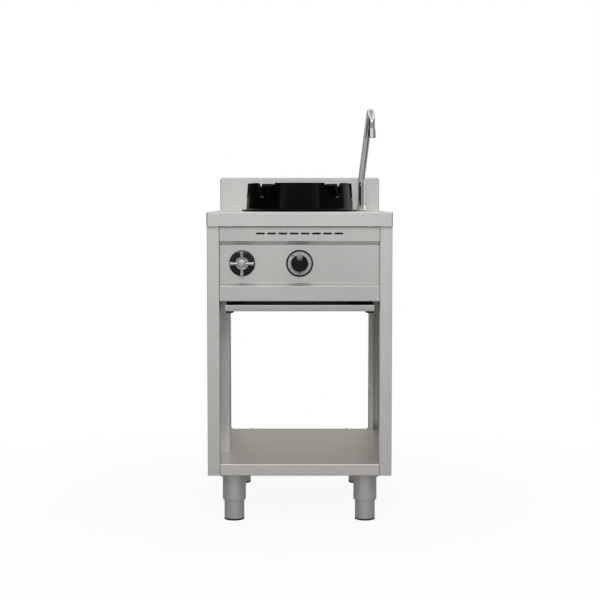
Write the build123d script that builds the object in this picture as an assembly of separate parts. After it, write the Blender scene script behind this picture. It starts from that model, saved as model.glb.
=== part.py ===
from build123d import *
from math import atan2, cos, radians, sin, tan
import os

# Free-standing gas wok range: one burner under a cast crown in a folded
# stainless worktop, a swivelling water spout, a drip tray, an open bay with a
# shelf, and four adjustable feet. Millimetres, +Z up, the front faces -Y.
# The origin lies on the floor, under the middle of the whole object.

# Overall sizes
WIDTH = 500.0
DEPTH = 700.0
TOP_HEIGHT = 850.0

# Sheet metal
SHEET = 1.2
TOP_SHEET = 1.5
CHANNEL_SHEET = 2.0
BEND = 1.0

# Clearances, socket walls, and how far a cut runs past a face
FIT_GAP = 0.8
HOLE_GAP = 0.15
RUNNING_GAP = 0.05
SOCKET_WALL = 4.0
PAST = 1.0

# Worktop and splashback
WORKTOP_LIP = 38.0
WORKTOP_CORNER = 5.0
WORKTOP_EDGE = 2.5
WORKTOP_RETURN = 16.0
OPENING_RADIUS = 149.0
SPLASH_RISE = 103.0
SPLASH_THICKNESS = 36.0
SPLASH_CORNER = 8.0
SPLASH_RETURN = 15.0

# Body frame
BODY_INSET = 0.5
BODY_SETBACK = 12.0
BODY_REAR_GAP = 60.0
POST_FACE = 33.5
POST_RETURN = 50.0
POST_LIP = 13.0
SIDE_FLANGE = 20.0
BODY_UNDERSIDE = 135.0

# Burner housing
HOUSING_HEIGHT = 202.0
PANEL_FLANGE = 25.0
TOP_STRIP = 39.0
UPPER_SLANT = 10.0
LOWER_SLANT = 9.0
LOWER_STRIP = 41.0
RECESS_DEPTH = 12.0
SLOT_COUNT = 8
SLOT_LENGTH = 24.0
SLOT_HEIGHT = 5.0
SLOT_PITCH = 30.0
SLOT_DROP = 19.5
FLOOR_FLANGE = 28.0
FLOOR_MARGIN = 50.0
FLOOR_APRON = 34.0
CONTROL_DROP = 49.8
SHAFT_HOLE_GAP = 2.0
REAR_SLOT_ROWS = 3
REAR_SLOT_ROW_PITCH = 14.0
REAR_SLOT_DROP = 75.0

# Shelf, base channels and service duct
SHELF_LIP = 32.0
SHELF_RETURN = 15.0
SHELF_REAR_INSET = 32.0
BASE_CHANNEL_WIDTH = 68.0
DUCT_WIDTH = 49.5
DUCT_DEPTH = 80.0
DUCT_SETBACK = 220.0

# Adjustable feet
FOOT_INSET = 69.0
FRONT_FOOT_SETBACK = 88.0
REAR_FOOT_INSET = 103.0
SLEEVE_WALL = 4.5
SLEEVE_LENGTH = 80.0
SLEEVE_CAP = 6.0
SLEEVE_CHAMFER = 2.0
LEG_RADIUS = 27.5
LEG_WALL = 3.0
LEG_ENGAGED = 50.0
PAD_OVERHANG = 0.3
PAD_CHAMFER = 1.0
PAD_HEIGHT = 5.0
STUD_RADIUS = 5.0
STUD_RISE = 14.0
NUT_RADIUS = 9.0
NUT_HEIGHT = 8.0

# Drip tray and its rails
TRAY_SIDE_GAP = 4.0
TRAY_LIP_OVERHANG = 2.0
TRAY_REAR_GAP = 68.0
TRAY_WALL_HEIGHT = 14.0
TRAY_SHEET = 1.0
TRAY_LIP_HEIGHT = 17.0
TRAY_DROP = 10.0
TRAY_LIFT = 0.3
TRAY_CORNER = 6.0
TRAY_GRIP_DEPTH = 8.0
RAIL_INSET = 16.2
RAIL_FOOT = 20.0
RAIL_FOOT_HEIGHT = 6.0

# Wok crown
CROWN_SETBACK = 332.0
CROWN_HEIGHT = 81.0
CROWN_SPIGOT = 6.0
CROWN_SPIGOT_GAP = 1.5
CROWN_SPIGOT_WALL = 6.5
CROWN_BASE_WALL = 15.0
CROWN_TOP_WALL = 9.5
CROWN_RIM_WALL = 6.5
CROWN_FLANGE_WIDTH = 12.5
CROWN_FLANGE_THICKNESS = 5.5
CROWN_ROUND = 1.8
CROWN_EDGE = 1.0
CROWN_FILLET = 3.0
NOTCH_COUNT = 9
NOTCH_DEPTH = 41.5
NOTCH_TOP_ANGLE = 10.6
NOTCH_BOTTOM_ANGLE = 7.2
NOTCH_CORNER = 8.0
NOTCH_LEAD = 9.0
NOTCH_LEAD_ANGLE = 12.2

# Burner
WELL_SHOULDER = 4.0
WELL_RIM_WIDTH = 15.0
WELL_THROAT_GAP = 20.0
WELL_DEPTH = 46.0
WELL_COLLAR = 6.0
BOWL_RADIUS = 80.0
BOWL_WALL = 7.0
BOWL_TOP_DROP = 24.0
BOWL_HEIGHT = 33.0
TUBE_AXIS_DROP = 88.0
TUBE_RADIUS = 24.0
THROAT_RADIUS = 17.0
TUBE_WALL = 4.0
DRUM_RADIUS = 30.0
DRUM_LENGTH = 40.0
DRUM_SETBACK = 152.0
CONE_LENGTH = 22.0
AIR_PORT_LENGTH = 16.0
AIR_PORT_HEIGHT = 26.0
SHUTTER_THICKNESS = 2.0
SHUTTER_LENGTH = 20.0
HEAD_OVERLAP = 5.0
HEAD_HEIGHT = 17.0
HEAD_SKIRT = 7.0
HEAD_WALL = 6.0
HEAD_GAP = 0.5
HEAD_BORE_RADIUS = 18.0
HEAD_SLOT_COUNT = 24
HEAD_SLOT_WIDTH = 3.0
HEAD_SLOT_HEIGHT = 6.0
INJECTOR_RADIUS = 7.0
INJECTOR_TIP = 12.0
INJECTOR_HEX = 10.0
INJECTOR_HEX_RADIUS = 11.0
CROSSBAR_DROP = 26.0
CROSSBAR_LENGTH = 60.0
BURNER_FOOT_RADIUS = 18.0

# Pilot and flame sensor
PILOT_TURN = 200.0
PILOT_GAP = 9.5
PILOT_DROP = 22.0
PILOT_BODY_RADIUS = 5.5
PILOT_BODY_HEIGHT = 16.0
PILOT_TIP_RADIUS = 4.0
PILOT_HEIGHT = 30.0
PILOT_BORE_RADIUS = 2.2
PILOT_ARM_WIDTH = 10.0
PILOT_ARM_THICKNESS = 4.0
PILOT_TUBE_RADIUS = 2.0
PILOT_TUBE_OFFSET = 3.0
PILOT_TUBE_SIDE = 60.0
PILOT_OUTLET_REACH = 44.0
SENSOR_TURN = 214.0
SENSOR_RADIUS = 3.2
SENSOR_RISE = 6.0
SENSOR_LENGTH = 36.0
SENSOR_ROUND = 2.0
LEAD_RADIUS = 1.5
LEAD_DROP = 14.0
LEAD_START = 34.0
LEAD_APPROACH = 40.0
LEAD_NUT_RADIUS = 6.0
LEAD_NUT_LENGTH = 8.0
THIN_TUBE_BENDS = [18.0, 20.0, 14.0]

# Gas valve, burner knob and dial
KNOB_X = 0.0
BEZEL_RADIUS = 36.25
BEZEL_RING = 4.3
BEZEL_HEIGHT = 5.0
BEZEL_EDGE = 1.2
DIAL_THICKNESS = 2.0
KNOB_RADIUS = 23.5
KNOB_SKIRT = 8.0
KNOB_LENGTH = 22.0
KNOB_GRIP_WIDTH = 16.0
KNOB_GAP = 4.5
KNOB_ROUND = 1.5
KNOB_DRAFT = 0.8
KNOB_NOSE = 15.0
KNOB_HEEL = 7.0
PUSH_TRAVEL = 4.0
SPINDLE_RADIUS = 4.0
SPINDLE_FLAT = 2.8
SPINDLE_DEPTH = 22.0
BORE_END_GAP = 0.5
PUSH_ROD_RADIUS = 1.5
VALVE_RADIUS = 15.0
VALVE_LENGTH = 50.0
VALVE_PLATE_WIDTH = 40.0
VALVE_PLATE_HEIGHT = 32.0
VALVE_PLATE_THICKNESS = 4.0
SADDLE_REACH = 26.0
SADDLE_WIDTH = 28.0
SADDLE_DEPTH = 26.0
OUTLET_RISE = 9.0
MAGNET_RADIUS = 10.0
MAGNET_LENGTH = 22.0
MAGNET_END_WALL = 6.0
RAIL_PIPE_RADIUS = 8.5
RAIL_PIPE_DROP = 26.0
MANIFOLD_X = 150.0
MANIFOLD_END_X = 30.0
MANIFOLD_SOCKET = 8.0
PIPE_BEND = 30.0
PIPE_WALL = 1.5
GAS_THREAD_RADIUS = 10.48
GAS_THREAD_LENGTH = 15.0
GAS_NECK_RADIUS = 12.5
GAS_NECK_REACH = 2.0
GAS_HEX_RADIUS = 15.5
GAS_HEX_LENGTH = 16.0
SUPPLY_PIPE_RADIUS = 5.0
SUPPLY_PIPE_WALL = 1.0
SUPPLY_PIPE_BEND = 16.0

# Water valve, handle and pipes
WATER_INSET = 60.2
ESCUTCHEON_RADIUS = 35.0
ESCUTCHEON_THICKNESS = 4.0
ESCUTCHEON_BEVEL_WIDTH = 7.0
ESCUTCHEON_BEVEL_DEPTH = 2.2
HANDLE_SPAN = 65.0
HANDLE_HUB_RADIUS = 18.0
HANDLE_HUB_LENGTH = 24.0
HANDLE_CAP_RADIUS = 9.5
HANDLE_CAP_HEIGHT = 6.0
HANDLE_GAP = 1.5
SPOKE_ROOT_RADIUS = 3.3
SPOKE_TIP_RADIUS = 5.0
SPOKE_ROUND = 1.6
SPOKE_SETBACK = 7.0
HUB_NECK_WALL = 2.5
HUB_FLANGE = 4.0
HUB_SHOULDER = 12.0
SPINDLE_IN_HUB = 16.0
WATER_SPINDLE_RADIUS = 5.0
WATER_VALVE_RADIUS = 13.0
WATER_VALVE_LENGTH = 52.0
WATER_HEX_RADIUS = 18.0
WATER_HEX_LENGTH = 12.0
WATER_OUTLET_REACH = 32.0
WATER_OUTLET_RISE = 30.0
WATER_OUTLET_SOCKET = 14.0
WATER_REAR_SOCKET = 16.0
WATER_PIPE_RADIUS = 7.5
WATER_PIPE_WALL = 1.0
WATER_PIPE_INSET = 16.3
WATER_PIPE_END = 124.0
WATER_NUT_RADIUS = 14.5
WATER_NUT_LENGTH = 20.0
WATER_THREAD_RADIUS = 10.48
WATER_THREAD_LENGTH = 16.0
SUPPLY_RUN_DROP = 50.0

# Swivelling spout
TAP_INSET = 60.0
TAP_REAR_INSET = 120.0
TAP_FLANGE_RADIUS = 15.5
TAP_FLANGE_HEIGHT = 4.0
TAP_FLANGE_ROUND = 1.2
TAP_NUT_RADIUS = 13.5
TAP_COLLAR_HEIGHT = 2.0
TAP_BORE_RADIUS = 5.0
TAP_PIPE_SOCKET = 6.0
TAP_BASE_HEIGHT = 18.0
TAP_SHANK_RADIUS = 10.48
TAP_SHANK_LENGTH = 36.0
LOCK_NUT_RADIUS = 17.0
LOCK_NUT_HEIGHT = 7.0
SPOUT_RADIUS = 10.0
SPOUT_WALL = 1.5
SPOUT_SPIGOT_RADIUS = 8.0
SPOUT_SPIGOT_LENGTH = 12.0
SPOUT_PLUG_LENGTH = 6.0
SPOUT_KNEE_RISE = 95.0
SPOUT_KNEE_BEND = 28.0
SPOUT_REACH = 281.0
SPOUT_APEX_RISE = 297.0
SPOUT_CROOK_BEND = 32.0
SPOUT_MOUTH_RISE = 211.0
SPOUT_TURN = 3.5
NOZZLE_TOP_WALL = 1.2
NOZZLE_WALL = 3.2
NOZZLE_LENGTH = 27.0
NOZZLE_ROUNDS = [1.0, 1.5, 0.6]

# Screws under the folded edges
SCREW_HEAD_RADIUS = 4.3
SCREW_HEAD_HEIGHT = 3.2
SCREW_RADIUS = 2.5
SCREW_EDGE = 0.8
SCREW_LENGTH = 10.0
TOP_SCREW_INSET = 60.0
TOP_SCREW_SETBACK = 6.5
SHELF_SCREW_INSET = 4.2
SHELF_REAR_SCREW_INSET = 27.0
SHELF_SCREW_SETBACK = 6.0

# Levels worked out from the sizes above
rim_z = TOP_HEIGHT - WORKTOP_LIP
housing_z = rim_z - HOUSING_HEIGHT
shelf_z = BODY_UNDERSIDE + SHELF_LIP
floor_z = housing_z + SHEET
panel_top_z = rim_z - SHEET
step_z = panel_top_z - TOP_STRIP
ledge_z = housing_z + LOWER_STRIP
control_z = step_z - UPPER_SLANT - CONTROL_DROP
rail_pipe_z = control_z - RAIL_PIPE_DROP
tube_z = TOP_HEIGHT - TUBE_AXIS_DROP
crossbar_z = tube_z - TUBE_RADIUS - CROSSBAR_DROP
bowl_top_z = TOP_HEIGHT - BOWL_TOP_DROP
supply_run_z = TOP_HEIGHT - SUPPLY_RUN_DROP
pilot_z = bowl_top_z - PILOT_DROP
sensor_top_z = bowl_top_z + SENSOR_RISE
spout_base_z = TOP_HEIGHT + TAP_BASE_HEIGHT
shank_low_z = TOP_HEIGHT - TAP_SHANK_LENGTH
tray_rest_z = housing_z - TRAY_DROP - TRAY_LIP_HEIGHT

# Places worked out from the sizes above
panel_setback = BODY_SETBACK + RECESS_DEPTH
knob_reach = DIAL_THICKNESS + KNOB_GAP + KNOB_SKIRT + KNOB_LENGTH
handle_reach = ESCUTCHEON_THICKNESS + HANDLE_GAP + HANDLE_HUB_LENGTH + HANDLE_CAP_HEIGHT
front_reach = max(0.0, max(knob_reach, handle_reach) - panel_setback)
front_y = (front_reach - DEPTH) / 2
back_y = front_y + DEPTH
body_front_y = front_y + BODY_SETBACK
recess_y = front_y + panel_setback
body_back_y = back_y - BODY_REAR_GAP
post_end_y = body_front_y + POST_RETURN
rear_post_y = body_back_y - POST_RETURN
shelf_back_y = body_back_y - SHELF_REAR_INSET
burner_y = front_y + CROWN_SETBACK
drum_y = front_y + DRUM_SETBACK
tap_y = back_y - TAP_REAR_INSET
duct_y = front_y + DUCT_SETBACK
duct_middle_y = duct_y + DUCT_DEPTH / 2
body_half = WIDTH / 2 - BODY_INSET
post_x = body_half - POST_FACE
side_wall_x = body_half - SHEET
panel_half = post_x - FIT_GAP
floor_inside_x = panel_half - SHEET - BEND
foot_x = WIDTH / 2 - FOOT_INSET
base_channel_x = (foot_x - BASE_CHANNEL_WIDTH / 2, foot_x + BASE_CHANNEL_WIDTH / 2)
rail_x = panel_half - RAIL_INSET
rail_front_y = body_front_y + PANEL_FLANGE + FIT_GAP
tray_length = body_back_y - body_front_y - TRAY_REAR_GAP
water_x = WATER_INSET - panel_half
water_pipe_x = WATER_PIPE_INSET - side_wall_x
tap_x = WIDTH / 2 - TAP_INSET
valve_front_y = recess_y + SHEET
valve_back_y = valve_front_y + VALVE_LENGTH
saddle_y = valve_front_y + SADDLE_REACH
knob_back_y = recess_y - DIAL_THICKNESS - KNOB_GAP
spindle_tip_y = knob_back_y - KNOB_SKIRT - KNOB_LENGTH / 3
water_valve_back_y = valve_front_y + WATER_VALVE_LENGTH
water_outlet_y = valve_front_y + WATER_OUTLET_REACH
handle_back_y = recess_y - ESCUTCHEON_THICKNESS - HANDLE_GAP
gas_neck_y = body_back_y + GAS_NECK_REACH

# Radii worked out from the sizes above
spigot_radius = OPENING_RADIUS - CROWN_SPIGOT_GAP
crown_bore = spigot_radius - CROWN_SPIGOT_WALL
crown_top_radius = crown_bore + CROWN_TOP_WALL
crown_base_radius = crown_bore + CROWN_BASE_WALL
crown_flange_radius = crown_base_radius + CROWN_FLANGE_WIDTH
well_shoulder_radius = OPENING_RADIUS + WELL_SHOULDER
well_throat_radius = BOWL_RADIUS + WELL_THROAT_GAP
head_spigot_radius = BOWL_RADIUS - BOWL_WALL - HEAD_GAP
head_radius = head_spigot_radius + HEAD_OVERLAP + HEAD_GAP
pilot_radius = BOWL_RADIUS + PILOT_GAP
sleeve_bore = LEG_RADIUS + RUNNING_GAP
sleeve_radius = sleeve_bore + SLEEVE_WALL - RUNNING_GAP
dial_radius = BEZEL_RADIUS - BEZEL_RING
water_bore = WATER_PIPE_RADIUS + HOLE_GAP
supply_bore = SUPPLY_PIPE_RADIUS + HOLE_GAP
manifold_bore = RAIL_PIPE_RADIUS + HOLE_GAP
spout_bore = SPOUT_RADIUS - SPOUT_WALL


def bent_sheet(points, sheet=SHEET, bend=BEND):
    """Section of a folded sheet whose metal lies on the left of the points."""
    corners = [Vector(*point) for point in points]
    ways = [(after - before).normalized() for before, after in zip(corners, corners[1:])]
    normals = [Vector(-way.Y, way.X) for way in ways]
    inner = [corners[0] + normals[0] * sheet]
    near = [0]
    far = [0]
    for index, corner in enumerate(corners[1:-1]):
        shift = (normals[index] + normals[index + 1]) / (1 + ways[index].dot(ways[index + 1]))
        left_turn = ways[index].cross(ways[index + 1]).Z > 0
        inner.append(corner + shift * sheet)
        near.append(bend + sheet if left_turn else bend)
        far.append(bend if left_turn else bend + sheet)
    inner.append(corners[-1] + normals[-1] * sheet)
    radii = [*near, 0, 0, *far[::-1]]
    return make_face(FilletPolyline(*corners, *inner[::-1], radius=radii, close=True))


def along_x(section, low, high):
    """Section drawn in Y and Z, drawn out from low to high along X."""
    return extrude(Plane.YZ.offset(low) * section, high - low)


def along_y(section, low, high):
    """Section drawn in X and Z, drawn out from low to high along Y."""
    return extrude(Plane.XZ.offset(-high) * section, high - low)


def along_z(section, low, high):
    """Section drawn in X and Y, drawn out from low to high along Z."""
    return extrude(Plane.XY.offset(low) * section, high - low)


def block(x_range, y_range, z_range):
    """Rectangular block between three pairs of limits."""
    sizes = [high - low for low, high in (x_range, y_range, z_range)]
    middle = [(high + low) / 2 for low, high in (x_range, y_range, z_range)]
    return Pos(*middle) * Box(*sizes)


def disc_z(x, y, radius, low, high):
    """Upright cylinder from low to high."""
    return Pos(x, y, (low + high) / 2) * Cylinder(radius, high - low)


def disc_y(x, z, radius, low, high):
    """Cylinder lying along Y from low to high."""
    return Pos(x, (low + high) / 2, z) * Rot(90, 0, 0) * Cylinder(radius, high - low)


def turned_z(points):
    """Ring or solid turned about Z from its radius and height points."""
    return revolve(Plane.XZ * make_face(Polyline(*points, close=True)), Axis.Z)


def turned_y(points):
    """Ring or solid turned about Y from its radius and depth points."""
    return revolve(make_face(Polyline(*points, close=True)), Axis.Y)


def hexagon_z(x, y, across_corners, low, high):
    """Upright hexagonal prism."""
    return Pos(x, y, 0) * along_z(RegularPolygon(across_corners, 6), low, high)


def hexagon_y(x, z, across_corners, low, high):
    """Hexagonal prism lying along Y."""
    return Pos(x, 0, z) * along_y(RegularPolygon(across_corners, 6), low, high)


def pipe(points, radius, bend, wall=0.0):
    """Round pipe along straight runs joined by arcs."""
    route = FilletPolyline(*points, radius=bend)
    section = Circle(radius)
    if wall:
        section -= Circle(radius - wall)
    start = Plane(origin=route @ 0, z_dir=route % 0)
    return sweep(start * section, path=route)


def mirrored(shape):
    """The same piece on the other side of the object."""
    return mirror(shape, about=Plane.YZ)


def top_screw_places():
    """Screws that hold the worktop's folded edge, front and back."""
    x = WIDTH / 2 - TOP_SCREW_INSET
    rows = (front_y + TOP_SCREW_SETBACK, back_y - TOP_SCREW_SETBACK)
    return [(side * x, y) for side in (-1, 1) for y in rows]


def shelf_screw_places():
    """Screws under the shelf's folded edges, front and back."""
    front = (panel_half - SHELF_SCREW_INSET, body_front_y + SHELF_SCREW_SETBACK)
    back = (base_channel_x[0] - SHELF_REAR_SCREW_INSET, shelf_back_y - SHELF_SCREW_SETBACK)
    return [(side * x, y) for side in (-1, 1) for x, y in (front, back)]


def foot_places():
    """Name and middle of each foot."""
    front = front_y + FRONT_FOOT_SETBACK
    rear = back_y - REAR_FOOT_INSET
    return {
        "front_left": (-foot_x, front),
        "front_right": (foot_x, front),
        "rear_left": (-foot_x, rear),
        "rear_right": (foot_x, rear),
    }


def worktop():
    """Folded pan of thick sheet with the burner opening and the tap hole."""
    middle = Pos(0, (front_y + back_y) / 2)
    outline = RectangleRounded(WIDTH, DEPTH, WORKTOP_CORNER)
    pan = along_z(middle * outline, rim_z, TOP_HEIGHT)
    pan = fillet(pan.faces().sort_by(Axis.Z)[-1].edges(), WORKTOP_EDGE)
    inside = RectangleRounded(WIDTH - 2 * TOP_SHEET, DEPTH - 2 * TOP_SHEET, WORKTOP_CORNER - TOP_SHEET)
    pan -= along_z(middle * inside, rim_z + TOP_SHEET, TOP_HEIGHT - TOP_SHEET)
    mouth = Rectangle(WIDTH - 2 * WORKTOP_RETURN, DEPTH - 2 * WORKTOP_RETURN)
    through_return = (rim_z - PAST, rim_z + TOP_SHEET + PAST)
    through_top = (TOP_HEIGHT - TOP_SHEET - PAST, TOP_HEIGHT + PAST)
    pan -= along_z(middle * mouth, *through_return)
    pan -= disc_z(0, burner_y, OPENING_RADIUS, *through_top)
    pan -= disc_z(tap_x, tap_y, TAP_SHANK_RADIUS + HOLE_GAP, *through_top)
    for x, y in top_screw_places():
        pan -= disc_z(x, y, SCREW_RADIUS + HOLE_GAP, *through_return)
    return pan


def splash_outline(inset):
    """Front view of the splashback, drawn in by the inset on every side."""
    corner = max(SPLASH_CORNER - inset, BEND)
    shape = Rectangle(WIDTH - 2 * inset, SPLASH_RISE - 2 * inset)
    shape = fillet(shape.vertices().group_by(Axis.Y)[-1], corner)
    return Pos(0, TOP_HEIGHT + SPLASH_RISE / 2) * shape


def splashback():
    """Boxed upstand along the back of the worktop, open behind."""
    low = back_y - SPLASH_THICKNESS
    box = along_y(splash_outline(0), low, back_y)
    front_edges = box.faces().sort_by(Axis.Y)[0].edges()
    box = fillet(front_edges.sort_by(Axis.Z)[1:], WORKTOP_EDGE)
    box -= along_y(splash_outline(TOP_SHEET), low + TOP_SHEET, back_y - TOP_SHEET)
    box -= along_y(splash_outline(SPLASH_RETURN), back_y - TOP_SHEET - PAST, back_y + PAST)
    return box


def right_side_panel():
    """Side sheet folded into a front post and a rear post, closed by flanges."""
    lip_x = post_x + POST_LIP
    section = bent_sheet([
        (lip_x, post_end_y),
        (post_x, post_end_y),
        (post_x, body_front_y),
        (body_half, body_front_y),
        (body_half, body_back_y),
        (post_x, body_back_y),
        (post_x, rear_post_y),
        (lip_x, rear_post_y),
    ])
    panel = along_z(section, BODY_UNDERSIDE, rim_z)
    between = (post_end_y, rear_post_y)
    for low in (BODY_UNDERSIDE, rim_z - SHEET):
        panel += block((body_half - SIDE_FLANGE, body_half - SHEET / 2), between, (low, low + SHEET))
    return panel


def front_panel_points():
    """Side view of the panel's face: strip, slanted step, recess, step, strip."""
    return [
        (body_front_y + PANEL_FLANGE, panel_top_z),
        (body_front_y, panel_top_z),
        (body_front_y, step_z),
        (recess_y, step_z - UPPER_SLANT),
        (recess_y, ledge_z + LOWER_SLANT),
        (body_front_y, ledge_z),
        (body_front_y, housing_z),
        (body_front_y + PANEL_FLANGE, housing_z),
    ]


def front_panel():
    """Stepped control panel with end cheeks, a row of vents and two holes."""
    points = front_panel_points()
    panel = along_x(bent_sheet(points), -panel_half, panel_half)
    round_corner = BEND + SHEET
    cheek = make_face(FilletPolyline(*points, radius=[0, *[round_corner] * 6, 0], close=True))
    for low in (-panel_half, panel_half - SHEET):
        panel += along_x(cheek, low, low + SHEET)
    slot = SlotOverall(SLOT_LENGTH, SLOT_HEIGHT)
    slot_z = rim_z - SLOT_DROP
    for index in range(SLOT_COUNT):
        x = (index - (SLOT_COUNT - 1) / 2) * SLOT_PITCH
        panel -= along_y(Pos(x, slot_z) * slot, body_front_y - PAST, body_front_y + SHEET + PAST)
    for x, shaft in ((KNOB_X, SPINDLE_RADIUS), (water_x, WATER_SPINDLE_RADIUS)):
        panel -= disc_y(x, control_z, shaft + SHAFT_HOLE_GAP, recess_y - PAST, recess_y + SHEET + PAST)
    return panel


def rear_panel():
    """Back of the burner housing, with vents and the gas inlet's hole."""
    half = floor_inside_x
    section = bent_sheet([
        (half, body_back_y - PANEL_FLANGE),
        (half, body_back_y),
        (-half, body_back_y),
        (-half, body_back_y - PANEL_FLANGE),
    ])
    panel = along_z(section, floor_z + SHEET, rim_z - SHEET)
    slot = SlotOverall(SLOT_LENGTH, SLOT_HEIGHT)
    for row in range(REAR_SLOT_ROWS):
        z = rim_z - REAR_SLOT_DROP - row * REAR_SLOT_ROW_PITCH
        for index in range(SLOT_COUNT):
            x = (index - (SLOT_COUNT - 1) / 2) * SLOT_PITCH
            panel -= along_y(Pos(x, z) * slot, body_back_y - SHEET - PAST, body_back_y + PAST)
    hole = GAS_NECK_RADIUS + HOLE_GAP
    panel -= disc_y(MANIFOLD_X, rail_pipe_z, hole, body_back_y - SHEET - PAST, body_back_y + PAST)
    return panel


def casing_floor():
    """Floor of the burner housing, cut open above the tray, with an apron behind it."""
    flange_z = floor_z + FLOOR_FLANGE
    section = bent_sheet([
        (-panel_half, flange_z),
        (-panel_half, floor_z),
        (panel_half, floor_z),
        (panel_half, flange_z),
    ])
    plate = along_y(section, rail_front_y, body_back_y - SHEET - BEND)
    apron = bent_sheet([
        (body_back_y, floor_z - FLOOR_APRON),
        (body_back_y, floor_z + SHEET),
        (body_back_y - FLOOR_MARGIN, floor_z + SHEET),
    ])
    plate += along_x(apron, -floor_inside_x, floor_inside_x)
    half = rail_x - RAIL_FOOT - FIT_GAP
    window = (rail_front_y + FLOOR_MARGIN, body_back_y - 2 * FLOOR_MARGIN)
    plate -= block((-half, half), window, (floor_z - PAST, floor_z + SHEET + PAST))
    return plate


def lower_shelf():
    """Shelf with deep folded edges, notched around the four posts."""
    back = shelf_back_y
    section = bent_sheet([
        (body_front_y + SHELF_RETURN, BODY_UNDERSIDE),
        (body_front_y, BODY_UNDERSIDE),
        (body_front_y, shelf_z),
        (back, shelf_z),
        (back, BODY_UNDERSIDE),
        (back - SHELF_RETURN, BODY_UNDERSIDE),
    ][::-1])
    shelf = along_x(section, -panel_half, panel_half)
    wing_x = side_wall_x - HOLE_GAP
    wing = bent_sheet([
        (wing_x, BODY_UNDERSIDE + SHEET + HOLE_GAP),
        (wing_x, shelf_z),
        (panel_half - SHEET, shelf_z),
    ])
    wings = (post_end_y + FIT_GAP, rear_post_y - FIT_GAP)
    side = along_y(wing, *wings)
    shelf += side
    shelf += mirrored(side)
    pipe_hole = WATER_PIPE_RADIUS + FIT_GAP
    shelf -= disc_z(water_pipe_x, duct_middle_y, pipe_hole, shelf_z - SHEET - PAST, shelf_z + PAST)
    notch = (base_channel_x[0] - FIT_GAP, base_channel_x[1] + FIT_GAP)
    rear_edge = block(
        notch,
        (back - SHELF_RETURN - PAST, back + PAST),
        (BODY_UNDERSIDE - PAST, shelf_z - SHEET),
    )
    shelf -= rear_edge
    shelf -= mirrored(rear_edge)
    for x, y in shelf_screw_places():
        hole = (BODY_UNDERSIDE - PAST, BODY_UNDERSIDE + SHEET + PAST)
        shelf -= disc_z(x, y, SCREW_RADIUS + HOLE_GAP, *hole)
    return shelf


def right_base_channel():
    """Channel under the shelf that carries the two right feet."""
    low_x, high_x = base_channel_x
    section = bent_sheet([
        (low_x, shelf_z - SHEET),
        (low_x, BODY_UNDERSIDE),
        (high_x, BODY_UNDERSIDE),
        (high_x, shelf_z - SHEET),
    ], CHANNEL_SHEET, 2 * BEND)
    low_y = body_front_y + SHELF_RETURN + FIT_GAP
    channel = along_y(section, low_y, body_back_y)
    for x, y in foot_places().values():
        if x > 0:
            hole = (BODY_UNDERSIDE - PAST, BODY_UNDERSIDE + CHANNEL_SHEET + PAST)
            channel -= disc_z(x, y, STUD_RADIUS + HOLE_GAP, *hole)
    return channel


def service_duct():
    """Upright cover over the water pipe, from the shelf to the housing."""
    inner_x = -side_wall_x + DUCT_WIDTH - SHEET
    section = bent_sheet([
        (-side_wall_x, duct_y),
        (inner_x, duct_y),
        (inner_x, duct_y + DUCT_DEPTH),
        (-side_wall_x, duct_y + DUCT_DEPTH),
    ])
    return along_z(section, shelf_z, floor_z)


def left_tray_rail():
    """Folded rail that hangs from the housing and carries the tray."""
    inner_x = rail_x - RAIL_FOOT
    low_z = tray_rest_z - RAIL_FOOT_HEIGHT
    section = bent_sheet([
        (-inner_x, floor_z),
        (-rail_x, floor_z),
        (-rail_x, low_z),
        (-inner_x, low_z),
        (-inner_x, tray_rest_z),
        (-rail_x + 3 * SHEET, tray_rest_z),
    ], SHEET, BEND / 2)
    rail = along_y(section, rail_front_y, rail_front_y + tray_length)
    toe = make_face(Polyline(
        (-rail_x, low_z),
        (-inner_x - RAIL_FOOT_HEIGHT, low_z),
        (-inner_x, low_z + RAIL_FOOT_HEIGHT - SHEET),
        (-inner_x, tray_rest_z),
        (-rail_x, tray_rest_z),
        close=True,
    ))
    return rail + along_y(toe, body_front_y + TRAY_GRIP_DEPTH + FIT_GAP, rail_front_y + PAST)


def drip_tray():
    """Shallow pressed tray with a folded grip along its front."""
    low_z = tray_rest_z + TRAY_LIFT
    front = body_front_y
    pan_low = front + TRAY_GRIP_DEPTH - TRAY_SHEET
    middle = Pos(0, pan_low + tray_length / 2)
    half = rail_x - TRAY_SIDE_GAP
    outline = RectangleRounded(2 * half, tray_length, TRAY_CORNER)
    pan = along_z(middle * outline, low_z, low_z + TRAY_WALL_HEIGHT)
    inside_width = 2 * (half - TRAY_SHEET)
    inside = RectangleRounded(inside_width, tray_length - 2 * TRAY_SHEET, TRAY_CORNER - TRAY_SHEET)
    pan -= along_z(middle * inside, low_z + TRAY_SHEET, low_z + TRAY_WALL_HEIGHT + PAST)
    top = tray_rest_z + TRAY_LIP_HEIGHT
    grip = bent_sheet([
        (pan_low + TRAY_SHEET, top),
        (front, top),
        (front, top - TRAY_LIP_HEIGHT / 2),
        (front + TRAY_SHEET / 2, tray_rest_z),
        (front + TRAY_GRIP_DEPTH, tray_rest_z),
    ], TRAY_SHEET, BEND / 2)
    return pan + along_x(grip, -rail_x - TRAY_LIP_OVERHANG, rail_x + TRAY_LIP_OVERHANG)


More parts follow.
